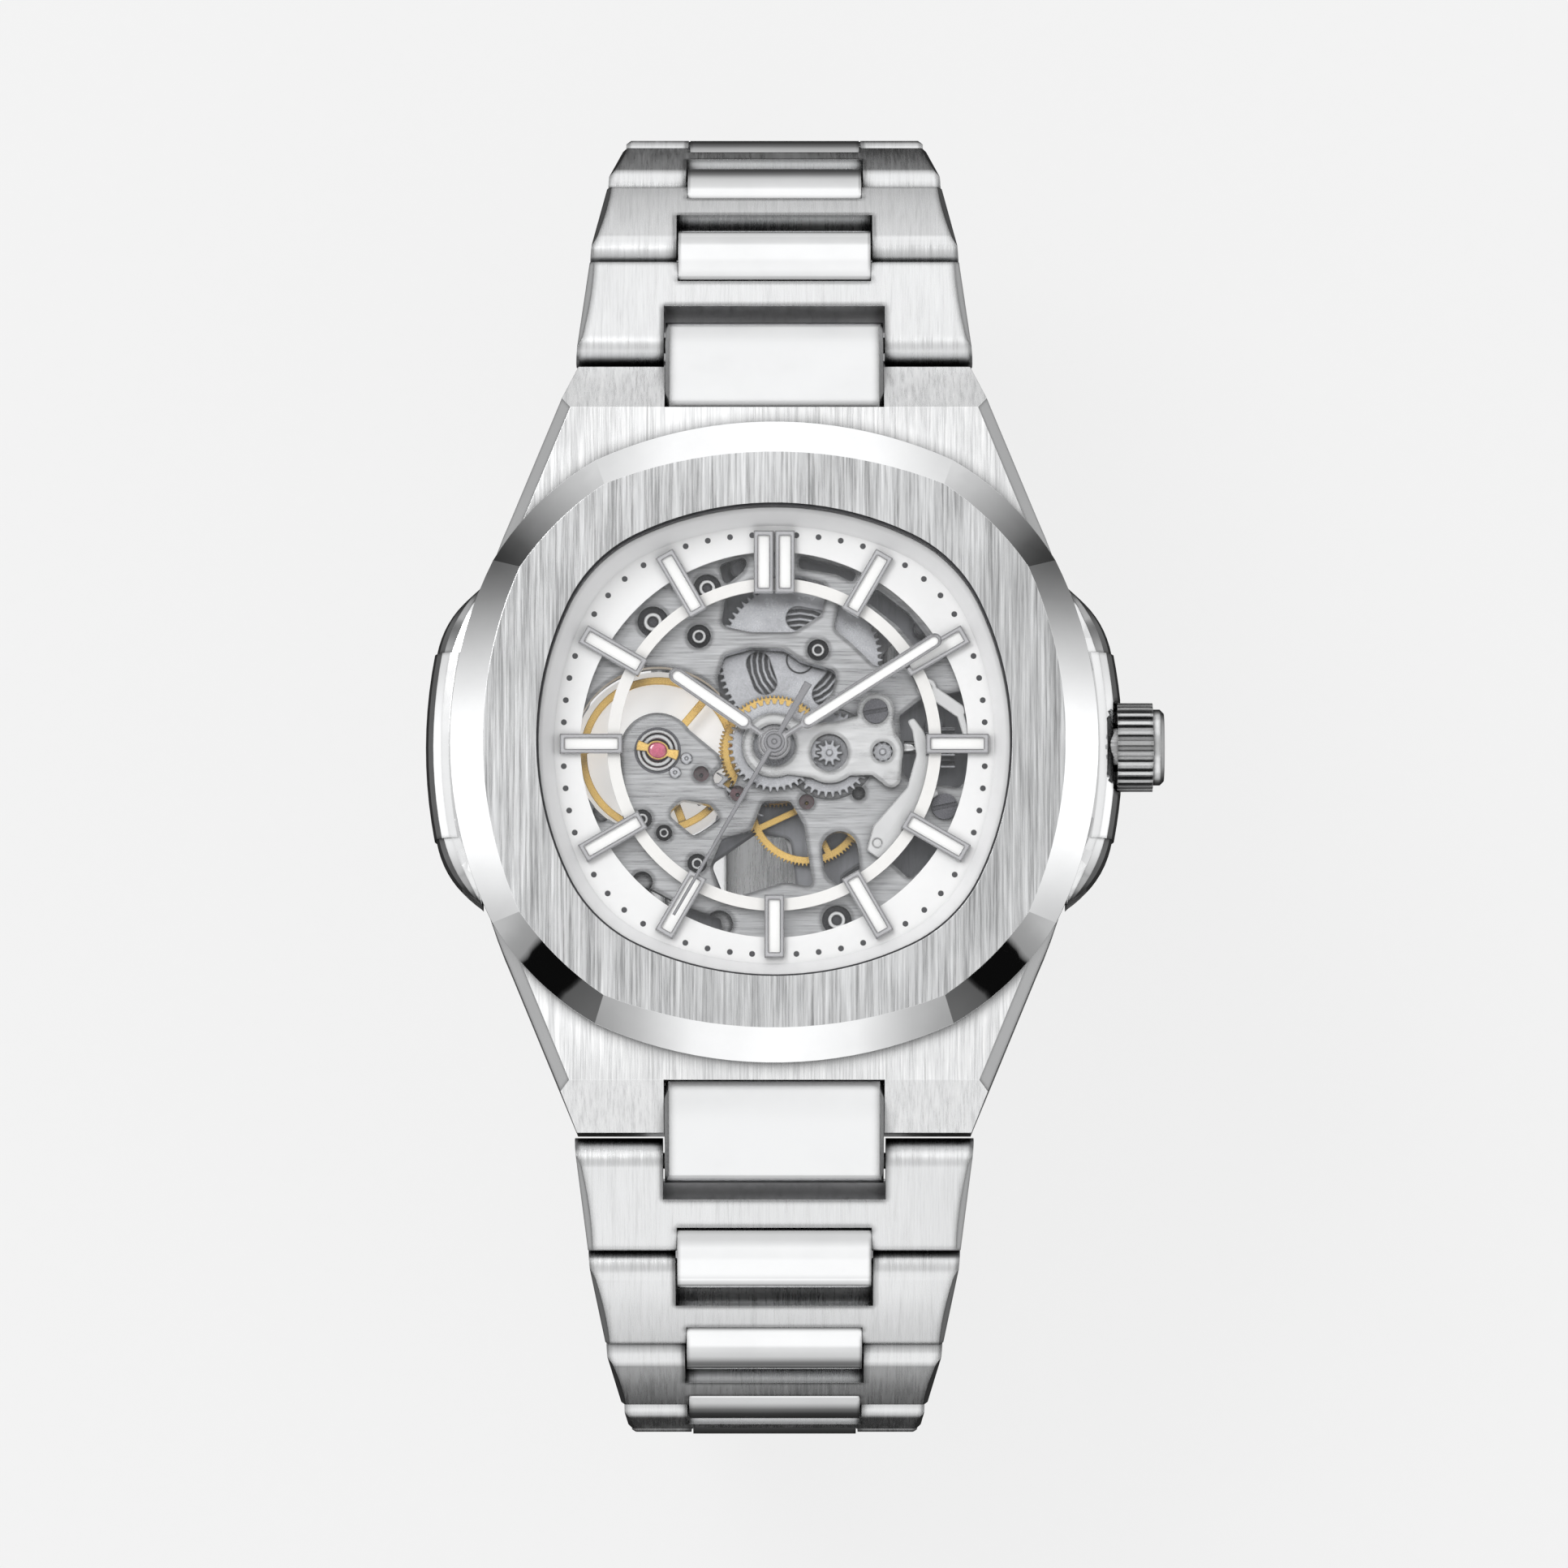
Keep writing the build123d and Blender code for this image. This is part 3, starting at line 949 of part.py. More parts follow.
def middle_blade():
    """First folding blade: hinged on the cover's free end, running back under the inner blade."""
    body = bowed_plate(COVER_HINGE_Y + 0.3, BLADE_HINGE_Y - 0.9, MIDDLE_LOW, MIDDLE_HIGH, BLADE_WIDTH)
    body += bowed_plate(BLADE_HINGE_Y - 1.2, BLADE_HINGE_Y - 0.1, MIDDLE_LOW, MIDDLE_HIGH, 2 * TONGUE_HALF)
    body += hinge_bar(COVER_HINGE_Y, COVER_HINGE_OFFSET, KNUCKLE_R, 0, BLADE_WIDTH / 2)
    body += hinge_bar(BLADE_HINGE_Y, BLADE_HINGE_OFFSET, KNUCKLE_R, 0, TONGUE_HALF)
    body -= hinge_bar(COVER_HINGE_Y, COVER_HINGE_OFFSET, HINGE_PIN_R + PIN_PLAY, 0, BLADE_WIDTH)
    pin = hinge_bar(BLADE_HINGE_Y, BLADE_HINGE_OFFSET, HINGE_PIN_R, 0, BLADE_WIDTH / 2 - 0.1)
    window = Pos(0, -1, CLASP_Z) * Box(6.4, 20, 8)
    return Compound([(body - window - pin).solid(), pin.solid()])


def inner_blade():
    """Second folding blade, ending in two ears that take the 6 o'clock side's spring bar."""
    tip = CLASP_Y - 2.1
    half = BLADE_WIDTH / 2
    body = bowed_plate(-tip, BLADE_HINGE_Y + 0.2, INNER_LOW, INNER_TOP, BLADE_WIDTH)
    knuckle_in = TONGUE_HALF + 0.1
    body += hinge_bar(BLADE_HINGE_Y, BLADE_HINGE_OFFSET, KNUCKLE_R, knuckle_in, half)
    body -= hinge_bar(BLADE_HINGE_Y, BLADE_HINGE_OFFSET, KNUCKLE_R + 0.1, 0, knuckle_in)
    body -= hinge_bar(BLADE_HINGE_Y, BLADE_HINGE_OFFSET, HINGE_PIN_R + PIN_PLAY, 0, BLADE_WIDTH)
    ear_in = CENTRE_WIDTHS[-1] / 2 + SIDE_PLAY
    ear_width = half - ear_in
    for sign in (1, -1):
        x = sign * (ear_in + half) / 2
        body += bar_along_x(END_EAR_R, x - ear_width / 2, x + ear_width / 2, -CLASP_Y, CLASP_Z)
        body += Pos(x, -CLASP_Y + 1.3, CLASP_Z) * Box(ear_width, 2.6, 0.75)
    body -= bar_along_x(SPRING_TIP_R + 0.05, -BLADE_WIDTH, BLADE_WIDTH, -CLASP_Y, CLASP_Z)
    return body - Pos(0, -1, CLASP_Z) * Box(6.4, 18, 8)


def spring_bar():
    """Bar in the last 6 o'clock link, drawn with its two tips pushed in."""
    half = CENTRE_WIDTHS[-1] / 2
    body = bar_along_x(PIN_R, -half + 0.3, half - 0.3, PITCH, 0)
    return body + bar_along_x(SPRING_TIP_R, -half + 0.02, half - 0.02, PITCH, 0)


def pair(first, second):
    return Compound([largest(first), largest(second)])


def assemble():
    """Writes every node."""
    nodes = {
        "mid_case": mid_case(), "bezel": bezel(), "crystal_front": crystal_front(),
        "case_seals": case_seals(), "flange_ring": flange_ring(),
        "case_back": case_back(), "crystal_back": disc(12.4, 0, 1.0),
        "screws": screws(), "movement_holder": movement_holder(), "end_links": end_links(),
        "dial_ring": dial_ring(), "hour_markers": hour_markers(), "hour_hand": hour_hand(),
        "minute_hand": minute_hand(), "seconds_hand": seconds_hand(), "main_plate": main_plate(),
        "jewels": jewels(), "movement_bridges": movement_bridges(),
        "motion_cover": motion_cover(), "barrel": barrel(), "mainspring": mainspring(),
        "barrel_arbor": barrel_arbor(), "centre_wheel": pair(centre_wheel(), cannon_pinion()),
        "third_wheel": third_wheel(),
        "fourth_wheel": fourth_wheel(), "escape_wheel": escape_wheel(), "pallet_fork": pallet_fork(),
        "balance_wheel": balance_wheel(), "hairspring": hairspring(),
        "minute_wheel": minute_wheel(), "setting_wheel": setting_wheel(), "hour_wheel": hour_wheel(),
        "rotor": rotor(), "crown": pair(crown(), winding_stem()),
        "winding_pinion": winding_pinion(), "sliding_clutch": sliding_clutch(), "yoke": yoke(),
        "setting_lever": setting_lever(), "crown_seal": crown_seal(), "clasp_cover": clasp_cover(),
        "middle_blade": middle_blade(), "inner_blade": inner_blade(),
        "clasp_button_right": clasp_button(1), "clasp_button_left": clasp_button(-1),
    }
    for index in range(len(ROW_ANGLES)):
        nodes[f"row_12_{index + 1}"] = bracelet_row(index, 1)
        nodes[f"row_6_{index + 1}"] = bracelet_row(index, -1)
    for name, shape in nodes.items():
        export_step(shape, f"parts/{name}.step")
    print(len(nodes), "nodes; clasp pivot", round(CLASP_Y, 2), round(CLASP_Z, 2))


assemble()
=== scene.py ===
"""Looks of the skeleton wristwatch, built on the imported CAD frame. Metres, +Z out through the dial."""
import math

import bpy
import numpy as np
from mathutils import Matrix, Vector


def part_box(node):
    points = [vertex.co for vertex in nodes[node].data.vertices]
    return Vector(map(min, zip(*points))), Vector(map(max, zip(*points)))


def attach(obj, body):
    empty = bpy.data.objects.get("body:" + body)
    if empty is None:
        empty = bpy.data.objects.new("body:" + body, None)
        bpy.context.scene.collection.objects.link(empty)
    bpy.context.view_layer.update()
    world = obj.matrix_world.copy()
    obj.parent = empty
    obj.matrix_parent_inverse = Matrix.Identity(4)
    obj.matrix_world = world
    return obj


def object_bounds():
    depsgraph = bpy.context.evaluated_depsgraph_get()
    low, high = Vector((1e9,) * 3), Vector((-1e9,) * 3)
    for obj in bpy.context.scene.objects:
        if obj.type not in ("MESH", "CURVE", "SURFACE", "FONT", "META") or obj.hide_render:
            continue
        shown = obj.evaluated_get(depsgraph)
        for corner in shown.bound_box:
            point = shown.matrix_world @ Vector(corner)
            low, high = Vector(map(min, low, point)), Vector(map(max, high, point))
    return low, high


MM = 0.001
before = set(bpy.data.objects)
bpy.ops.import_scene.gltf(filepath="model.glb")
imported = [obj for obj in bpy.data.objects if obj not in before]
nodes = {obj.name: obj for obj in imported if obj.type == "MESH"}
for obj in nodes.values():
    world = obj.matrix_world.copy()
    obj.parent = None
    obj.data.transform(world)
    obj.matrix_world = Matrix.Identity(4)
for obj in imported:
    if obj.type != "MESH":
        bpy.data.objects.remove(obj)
cad_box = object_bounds()

# ---------------------------------------------------------------- sizes and view
DIAL_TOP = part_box("dial_ring")[1][2]
MARKER_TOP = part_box("hour_markers")[1][2]
BEZEL_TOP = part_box("bezel")[1][2]
PLATE_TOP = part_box("main_plate")[1][2]
BALANCE_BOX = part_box("balance_wheel")
BALANCE_X = (BALANCE_BOX[0][0] + BALANCE_BOX[1][0]) / 2
BALANCE_Y = (BALANCE_BOX[0][1] + BALANCE_BOX[1][1]) / 2
LENS_MM, CAMERA_DISTANCE, CAMERA_TILT = 261.5, 0.70, math.radians(5.8)
AIM = (0.6 * MM, -2.6 * MM, 9.0 * MM)
KEY_PLACE = (-0.35, 0.30, 0.75)
# Reach of the painted shade that darkens the base colour in crevices.
PAINTED_SHADE_REACH = 0.9 * MM                              # how far a surface looks round for what shades it
WAVES_PER_LENGTH = 0.314                        # wave texture scale that repeats once in a length of 1
DOT_AXIS_R, DOT_DIAGONAL_R, DOT_R = 13.0 * MM, 13.8 * MM, 0.18 * MM # the dots follow the dial's cushion form

# In millimetres, because Faces gives millimetres.
FLANK_X, LUG_EDGE_Z = 19.3, 3.0                 # where the side ears begin; the lowest slanted lug edge
WRIST_Z, UNDERSIDE_REACH = -18.0, 12.0          # the wrist's middle; how far out a link's underside lies
THICKEST_PIN = 2.5
INNER_RING_R = 10.9
CANNON_PINION_Z, FOURTH_WHEEL_TOP_Z = 6.3, 3.6
CUP_SMALLEST = 0.45                             # radius of the smallest hole in the plate that gets a cup


# ================================================================ shader helpers
class Shader:
    """A node material being built round one Principled shader."""

    def __init__(self, name):
        self.material = bpy.data.materials.new(name)
        self.material.use_nodes = True
        self.tree = self.material.node_tree
        self.bsdf = self.tree.nodes["Principled BSDF"]
        self.coords = self.tree.nodes.new("ShaderNodeTexCoord")

    def link(self, source, target):
        self.tree.links.new(source, target)

    def noise(self, scale, detail=3.0, roughness=0.6):
        """Noise over the object's own coordinates, with a separate scale along each axis."""
        mapping = self.tree.nodes.new("ShaderNodeMapping")
        mapping.inputs["Scale"].default_value = scale
        texture = self.tree.nodes.new("ShaderNodeTexNoise")
        texture.inputs["Scale"].default_value = 1.0
        texture.inputs["Detail"].default_value = detail
        texture.inputs["Roughness"].default_value = roughness
        self.link(self.coords.outputs["Object"], mapping.inputs["Vector"])
        self.link(mapping.outputs["Vector"], texture.inputs["Vector"])
        return texture.outputs["Fac"]

    def remap(self, source, low, high, to_low, to_high):
        node = self.tree.nodes.new("ShaderNodeMapRange")
        for name, value in (("From Min", low), ("From Max", high), ("To Min", to_low), ("To Max", to_high)):
            node.inputs[name].default_value = value
        self.link(source, node.inputs["Value"])
        return node.outputs["Result"]

    def maths(self, operation, first, second):
        node = self.tree.nodes.new("ShaderNodeMath")
        node.operation = operation
        for socket, value in zip(node.inputs, (first, second)):
            if isinstance(value, float):
                socket.default_value = value
            else:
                self.link(value, socket)
        return node.outputs["Value"]

    def blend(self, first, second, share):
        """Sum of two textures, the first one with the given share."""
        part, rest = self.maths("MULTIPLY", first, share), self.maths("MULTIPLY", second, 1 - share)
        return self.maths("ADD", part, rest)

    def ramp(self, source, stops):
        node = self.tree.nodes.new("ShaderNodeValToRGB")
        while len(node.color_ramp.elements) < len(stops):
            node.color_ramp.elements.new(0.5)
        for element, (place, colour) in zip(node.color_ramp.elements, stops):
            element.position = place
            element.color = (*colour, 1)
        self.link(source, node.inputs["Fac"])
        return node.outputs["Color"]

    def rounded_normal(self, radius):
        """Surface normal as if every edge were rounded off by the radius."""
        rounding = self.tree.nodes.new("ShaderNodeBevel")
        rounding.samples = 4
        rounding.inputs["Radius"].default_value = radius
        return rounding.outputs["Normal"]

    def painted_edge_shade(self, radius, darkest):
        """Painted shade along edges: 1 on open faces, falling to the darkest level along edges."""
        geometry = self.tree.nodes.new("ShaderNodeNewGeometry")
        agreement = self.tree.nodes.new("ShaderNodeVectorMath")
        agreement.operation = "DOT_PRODUCT"
        self.link(self.rounded_normal(radius), agreement.inputs[0])
        self.link(geometry.outputs["Normal"], agreement.inputs[1])
        return self.remap(agreement.outputs["Value"], 0.90, 0.99, darkest, 1.0)

    def shade(self, colour, reach=PAINTED_SHADE_REACH, darkest=0.12, outline=None):
        """Base colour with painted shade: darker in crevices narrower than the reach; outline is (radius,
        level) for painted shade along edges.
        """
        crevice_shade = self.tree.nodes.new("ShaderNodeAmbientOcclusion")
        crevice_shade.samples = 5
        crevice_shade.inputs["Distance"].default_value = reach
        level = self.remap(crevice_shade.outputs["AO"], 0.3, 0.9, darkest, 1.0)
        if outline:
            level = self.maths("MULTIPLY", level, self.painted_edge_shade(*outline))
        scaled = self.tree.nodes.new("ShaderNodeVectorMath")
        scaled.operation = "SCALE"
        self.link(colour, scaled.inputs["Vector"])
        self.link(level, scaled.inputs["Scale"])
        self.link(scaled.outputs["Vector"], self.bsdf.inputs["Base Color"])

    def relief(self, height, strength, depth, edge=0.0):
        """Bumps from a height, over edges rounded off by the given radius."""
        bump = self.tree.nodes.new("ShaderNodeBump")
        bump.inputs["Strength"].default_value = strength
        bump.inputs["Distance"].default_value = depth
        self.link(height, bump.inputs["Height"])
        if edge:
            self.link(self.rounded_normal(edge), bump.inputs["Normal"])
        self.link(bump.outputs["Normal"], self.bsdf.inputs["Normal"])

    def set(self, **values):
        for name, value in values.items():
            self.bsdf.inputs[name.replace("_", " ")].default_value = value


def tint(colour, factor):
    return tuple(min(1.0, c * factor) for c in colour)


def brushed_metal(name, colour, roughness, grain, strength=0.25, contrast=0.16, edge=0.06 * MM, outline=None):
    """Metal with straight grain: grain is the noise scale along each axis, high across the strokes."""
    shader = Shader(name)
    fine = shader.noise(grain, 4.0, 0.7)
    coarse = shader.noise(tuple(0.37 * g for g in grain), 2.0)
    blotch = shader.noise((90, 90, 90), 3.0)
    strokes = shader.blend(fine, coarse, 0.65)
    stops = ((0.34, tint(colour, 1 - contrast)), (0.50, colour), (0.66, tint(colour, 1 + 0.6 * contrast)))
    shader.shade(shader.ramp(strokes, stops), outline=outline)
    worn = shader.remap(blotch, 0.35, 0.7, -0.05, 0.06)
    grained = shader.remap(strokes, 0.3, 0.7, roughness - 0.07, roughness + 0.08)
    shader.link(shader.maths("ADD", worn, grained), shader.bsdf.inputs["Roughness"])
    shader.relief(strokes, strength, 0.02 * MM, edge)
    shader.set(Metallic=1.0)
    return shader.material


def polished_metal(name, colour, roughness=0.08, edge=0.08 * MM, reach=PAINTED_SHADE_REACH, outline=None):
    """Mirror-finished metal with faint hairlines and smudges."""
    shader = Shader(name)
    hairlines = shader.noise((9000, 700, 700), 2.0)
    smudge = shader.noise((260, 260, 260), 4.0)
    stops = ((0.3, tint(colour, 0.94)), (0.7, colour))
    shader.shade(shader.ramp(smudge, stops), reach, outline=outline)
    polish = shader.remap(smudge, 0.35, 0.75, roughness * 0.6, roughness * 1.7)
    shader.link(polish, shader.bsdf.inputs["Roughness"])
    shader.relief(hairlines, 0.04, 0.004 * MM, edge)
    shader.set(Metallic=1.0)
    return shader.material


def turned_metal(name, colour, roughness=0.26, outline=None):
    """Gilt or steel wheels: fine mottled grain, slightly darker in patches."""
    shader = Shader(name)
    grain = shader.noise((14000, 14000, 2400), 3.0)
    patch = shader.noise((700, 700, 700), 3.0)
    mixed = shader.blend(grain, patch, 0.5)
    stops = ((0.35, tint(colour, 0.84)), (0.5, colour), (0.68, tint(colour, 1.1)))
    shader.shade(shader.ramp(mixed, stops), outline=outline)
    worn = shader.remap(mixed, 0.35, 0.65, roughness - 0.06, roughness + 0.08)
    shader.link(worn, shader.bsdf.inputs["Roughness"])
    shader.relief(grain, 0.08, 0.006 * MM, 0.02 * MM)
    shader.set(Metallic=1.0)
    return shader.material


def matt_surface(name, colour, roughness=0.55, grain=2600, strength=0.15, darkest=0.6, glow=0.0):
    """Lacquer, luminous paint, rubber or plastic. glow is painted light: the surface glows as if lit through
    from behind.
    """
    shader = Shader(name)
    fine = shader.noise((grain, grain, grain), 4.0)
    drift = shader.noise((140, 140, 140), 2.0)
    mixed = shader.blend(fine, drift, 0.4)
    shader.shade(shader.ramp(mixed, ((0.35, tint(colour, 0.95)), (0.6, colour))), 0.5 * MM, darkest)
    worn = shader.remap(fine, 0.3, 0.7, roughness - 0.06, roughness + 0.06)
    shader.link(worn, shader.bsdf.inputs["Roughness"])
    shader.relief(fine, strength, 0.01 * MM)
    shader.set(Emission_Color=(1, 1, 1, 1), Emission_Strength=glow)
    return shader.material


def clear_crystal(name):
    """Sapphire crystal: nearly invisible, with a faint film that varies."""
    shader = Shader(name)
    film = shader.noise((120, 120, 120), 3.0)
    shader.link(shader.remap(film, 0.3, 0.7, 0.015, 0.04), shader.bsdf.inputs["Roughness"])
    shader.link(shader.remap(film, 0.3, 0.7, 0.015, 0.03), shader.bsdf.inputs["Alpha"])
    shader.set(Base_Color=(0.97, 0.985, 1.0, 1), IOR=1.76)
    return shader.material


def ruby_gem(name, deep, clear):
    """Synthetic ruby, clouded between a deep and a clear red."""
    shader = Shader(name)
    cloud = shader.noise((1500, 1500, 1500), 3.0)
    stops = ((0.3, deep), (0.7, clear))
    shader.link(shader.ramp(cloud, stops), shader.bsdf.inputs["Base Color"])
    shader.link(shader.remap(cloud, 0.3, 0.7, 0.04, 0.12), shader.bsdf.inputs["Roughness"])
    shader.set(IOR=1.76, Coat_Weight=0.6)
    return shader.material


def striped_metal(name, colour, pitch):
    """Broad straight stripes, as ground on an oscillating weight."""
    shader = Shader(name)
    grain = shader.noise((9000, 300, 300), 3.0)
    wave = shader.tree.nodes.new("ShaderNodeTexWave")
    wave.wave_profile = "SAW"
    wave.inputs["Scale"].default_value = WAVES_PER_LENGTH / pitch
    shader.link(shader.coords.outputs["Object"], wave.inputs["Vector"])
    mixed = shader.blend(wave.outputs["Fac"], grain, 0.7)
    stops = ((0.1, tint(colour, 0.75)), (0.85, colour))
    shader.link(shader.ramp(mixed, stops), shader.bsdf.inputs["Base Color"])
    shader.link(shader.remap(mixed, 0.0, 1.0, 0.18, 0.4), shader.bsdf.inputs["Roughness"])
    shader.relief(mixed, 0.2, 0.02 * MM, 0.04 * MM)
    shader.set(Metallic=1.0)
    return shader.material


# ================================================================ the materials
# The metal and matt materials below, all but the striped one, get painted shade in crevices; an outline adds
# painted shade along edges.
# Case and bracelet. The three numbers in brackets after the roughness are the grain along X, Y and Z.
case_top_steel = brushed_metal("case_brushed", (0.88, 0.885, 0.89), 0.27, (8500, 260, 900), 0.3, 0.25)
bezel_steel = brushed_metal("bezel_brushed", (0.60, 0.605, 0.61), 0.27, (7000, 170, 900), 0.45, 0.52)
bevel_steel = polished_metal("bevel_mirror", (0.88, 0.885, 0.89), 0.025, 0.05 * MM)
side_steel = brushed_metal("side_brushed", (0.74, 0.745, 0.75), 0.28, (300, 120, 6000))
link_steel = brushed_metal("link_brushed", (0.73, 0.735, 0.74), 0.28, (9000, 420, 420), 0.2, 0.14,
                           outline=(0.65 * MM, 0.1))
inner_steel = brushed_metal("link_underside", (0.62, 0.62, 0.63), 0.4, (2500, 900, 900))
pin_steel = turned_metal("pin_steel", (0.55, 0.55, 0.56), 0.3)
polished_steel = polished_metal("polished_steel", (0.83, 0.835, 0.84), outline=(0.4 * MM, 0.3))
end_link_steel = polished_metal("end_link_polished", (0.77, 0.775, 0.78), 0.12, outline=(0.8 * MM, 0.1))
rubber = matt_surface("seal_rubber", (0.05, 0.05, 0.055), 0.7)
crystal = clear_crystal("crystal_clear")

# Movement
plate_metal = brushed_metal("plate_grained", (0.46, 0.465, 0.475), 0.32, (420, 9000, 420), 0.35, 0.34,
                            0.04 * MM, (0.55 * MM, 0.03))
plate_edge = polished_metal("plate_edge", (0.24, 0.24, 0.26), 0.22, 0.03 * MM)
cover_metal = brushed_metal("cover_satin", (0.70, 0.705, 0.71), 0.3, (500, 4200, 500), 0.15, 0.1, 0.05 * MM,
                            (0.45 * MM, 0.08))
bridge_metal = brushed_metal("bridge_satin", (0.24, 0.245, 0.26), 0.36, (3200, 300, 300), 0.2, 0.2, 0.03 * MM,
                             (0.35 * MM, 0.15))
lever_steel = polished_metal("lever_polished", (0.93, 0.935, 0.94), 0.16, 0.04 * MM, outline=(0.16 * MM, 0.2))
gilt = turned_metal("gilt_wheels", (0.93, 0.62, 0.20), outline=(0.12 * MM, 0.3))
steel_wheels = turned_metal("steel_wheels", (0.62, 0.63, 0.66), 0.22, outline=(0.12 * MM, 0.2))
screw_metal = turned_metal("screw_dark", (0.15, 0.15, 0.165), 0.24)
weight_metal = striped_metal("weight_striped", (0.50, 0.50, 0.51), 1.6 * MM)
holder_white = matt_surface("holder_white", (0.80, 0.80, 0.79), 0.5)
# The shield's glow is painted light, as if the sheet were lit through from behind.
glowing_shield_white = matt_surface("glowing_shield_white", (0.92, 0.92, 0.92), 0.5, 2600, 0.1, 1.0, 0.45)
ruby = ruby_gem("ruby_gem", (0.36, 0.03, 0.08), (0.72, 0.12, 0.24))
bearing_ruby = ruby_gem("ruby_bearing", (0.07, 0.02, 0.03), (0.20, 0.05, 0.07))

# Dial and hands. The reach of their painted crevice shade is short, so that the crystal above them doesn't
# count as a crevice.
marker_steel = polished_metal("marker_polished", (0.66, 0.66, 0.68), 0.16, 0.03 * MM, 0.4 * MM,
                              (0.18 * MM, 0.08))
hand_steel = polished_metal("hand_polished", (0.66, 0.66, 0.68), 0.18, 0.04 * MM, 0.2 * MM, (0.3 * MM, 0.05))
seconds_steel = polished_metal("seconds_polished", (0.42, 0.42, 0.44), 0.16, 0.03 * MM, 0.15 * MM,
                               (0.12 * MM, 0.2))
dial_white = matt_surface("dial_white", (0.90, 0.90, 0.90))
inner_white = matt_surface("dial_inner", (0.86, 0.85, 0.83), 0.45)
flange_grey = matt_surface("flange_grey", (0.86, 0.86, 0.865), 0.38, 3200, 0.12, 0.7)
lume = matt_surface("lume_white", (0.98, 0.98, 0.97), 0.6, 4200, 0.2, 0.95)
ink = matt_surface("dial_ink", (0.03, 0.03, 0.035), 0.5)


# ================================================================ painting the CAD nodes
class Faces:
    """A node's faces: centres, normals and which solid each belongs to."""

    def __init__(self, obj):
        mesh = obj.data
        self.object = obj
        count = len(mesh.polygons)
        self.centre = np.empty(3 * count)
        self.normal = np.empty(3 * count)
        mesh.polygons.foreach_get("center", self.centre)
        mesh.polygons.foreach_get("normal", self.normal)
        self.centre = self.centre.reshape(-1, 3) / MM
        self.normal = self.normal.reshape(-1, 3)
        self.piece = self.label(mesh)

    @staticmethod
    def label(mesh, chosen=None):
        """Number of the connected patch that each face, or each chosen face, is part of."""
        points = np.empty(3 * len(mesh.vertices))
        mesh.vertices.foreach_get("co", points)
        keys = np.round(points.reshape(-1, 3) * 1e7).astype(np.int64)
        _, same = np.unique(keys, axis=0, return_inverse=True)
        same = same.reshape(-1)
        corners = [same[list(p.vertices)] for p in mesh.polygons if chosen is None or chosen[p.index]]
        parent = np.arange(same.max() + 1)

        def root(i):
            while parent[i] != i:
                parent[i] = parent[parent[i]]
                i = parent[i]
            return i

        for face in corners:
            first = root(face[0])
            for other in face[1:]:
                parent[root(other)] = first
        return np.array([root(face[0]) for face in corners])

    def extent(self, piece):
        chosen = self.centre[self.piece == piece]
        return chosen.min(axis=0), chosen.max(axis=0)

    def paint(self, materials, choice):
        """Gives face i the material numbered choice[i]."""
        slots = self.object.data.materials
        slots.clear()
        for material in materials:
            slots.append(material)
        self.object.data.polygons.foreach_set("material_index", np.asarray(choice, dtype=np.int32))
        self.object.data.update()


def paint_all(names, material):
    for name in names:
        mesh = nodes[name].data
        mesh.materials.clear()
        mesh.materials.append(material)
        mesh.polygons.foreach_set("material_index", np.zeros(len(mesh.polygons), dtype=np.int32))


def paint_bezel():
    """Top brushed, bevel and walls polished."""
    faces = Faces(nodes["bezel"])
    choice = np.ones(len(faces.centre), dtype=int)
    choice[(faces.normal[:, 2] > 0.98) & (faces.centre[:, 2] > BEZEL_TOP / MM - 0.1)] = 0
    faces.paint([bezel_steel, bevel_steel], choice)


def paint_mid_case():
    """Brushed above and on the flanks; the slanted edges and the side ears are polished."""
    faces = Faces(nodes["mid_case"])
    x, y, z = faces.centre.T
    up = faces.normal[:, 2]
    sideways = np.abs(faces.normal[:, 0])
    choice = np.full(len(up), 2)
    choice[(up > 0.55) & (np.abs(x) < FLANK_X - 0.3) & (z > LUG_EDGE_Z)] = 0
    choice[(up > 0.2) & (up < 0.95) & (sideways > 0.25) & (z > LUG_EDGE_Z)] = 1
    choice[(np.abs(x) > FLANK_X) & (up > -0.2)] = 1
    faces.paint([case_top_steel, polished_steel, side_steel], choice)


def paint_row(name):
    """Outer link brushed with polished slants and a plain underside, centre link polished, pins turned."""
    faces = Faces(nodes[name])
    choice = np.zeros(len(faces.centre), dtype=int)
    spans = {}
    for piece in np.unique(faces.piece):
        low, high = faces.extent(piece)
        spans[piece] = high - low
    links = [piece for piece, span in spans.items() if math.hypot(*span[1:]) > THICKEST_PIN]
    widest = max(links, key=lambda piece: spans[piece][0])
    for piece in spans:
        chosen = faces.piece == piece
        if piece not in links:
            choice[chosen] = 2
        elif piece != widest:
            choice[chosen] = 1
    from_wrist = faces.centre[:, 2] - WRIST_Z
    inward = -(faces.centre[:, 1] * faces.normal[:, 1] + from_wrist * faces.normal[:, 2])
    sideways = np.abs(faces.normal[:, 0])
    choice[(sideways > 0.5) & (sideways < 0.9) & (choice == 0)] = 1
    choice[(inward > UNDERSIDE_REACH) & (choice == 0)] = 3
    faces.paint([link_steel, polished_steel, pin_steel, inner_steel], choice)


def paint_by_height(name, base, top, level, tolerance=0.03):
    """Faces that look up at one height take the second material."""
    faces = Faces(nodes[name])
    chosen = (faces.normal[:, 2] > 0.95) & (np.abs(faces.centre[:, 2] - level / MM) < tolerance)
    faces.paint([base, top], chosen.astype(int))


def paint_above(name, base, upper, height):
    """Faces above a height in millimetres take the second material."""
    faces = Faces(nodes[name])
    faces.paint([base, upper], (faces.centre[:, 2] > height).astype(int))


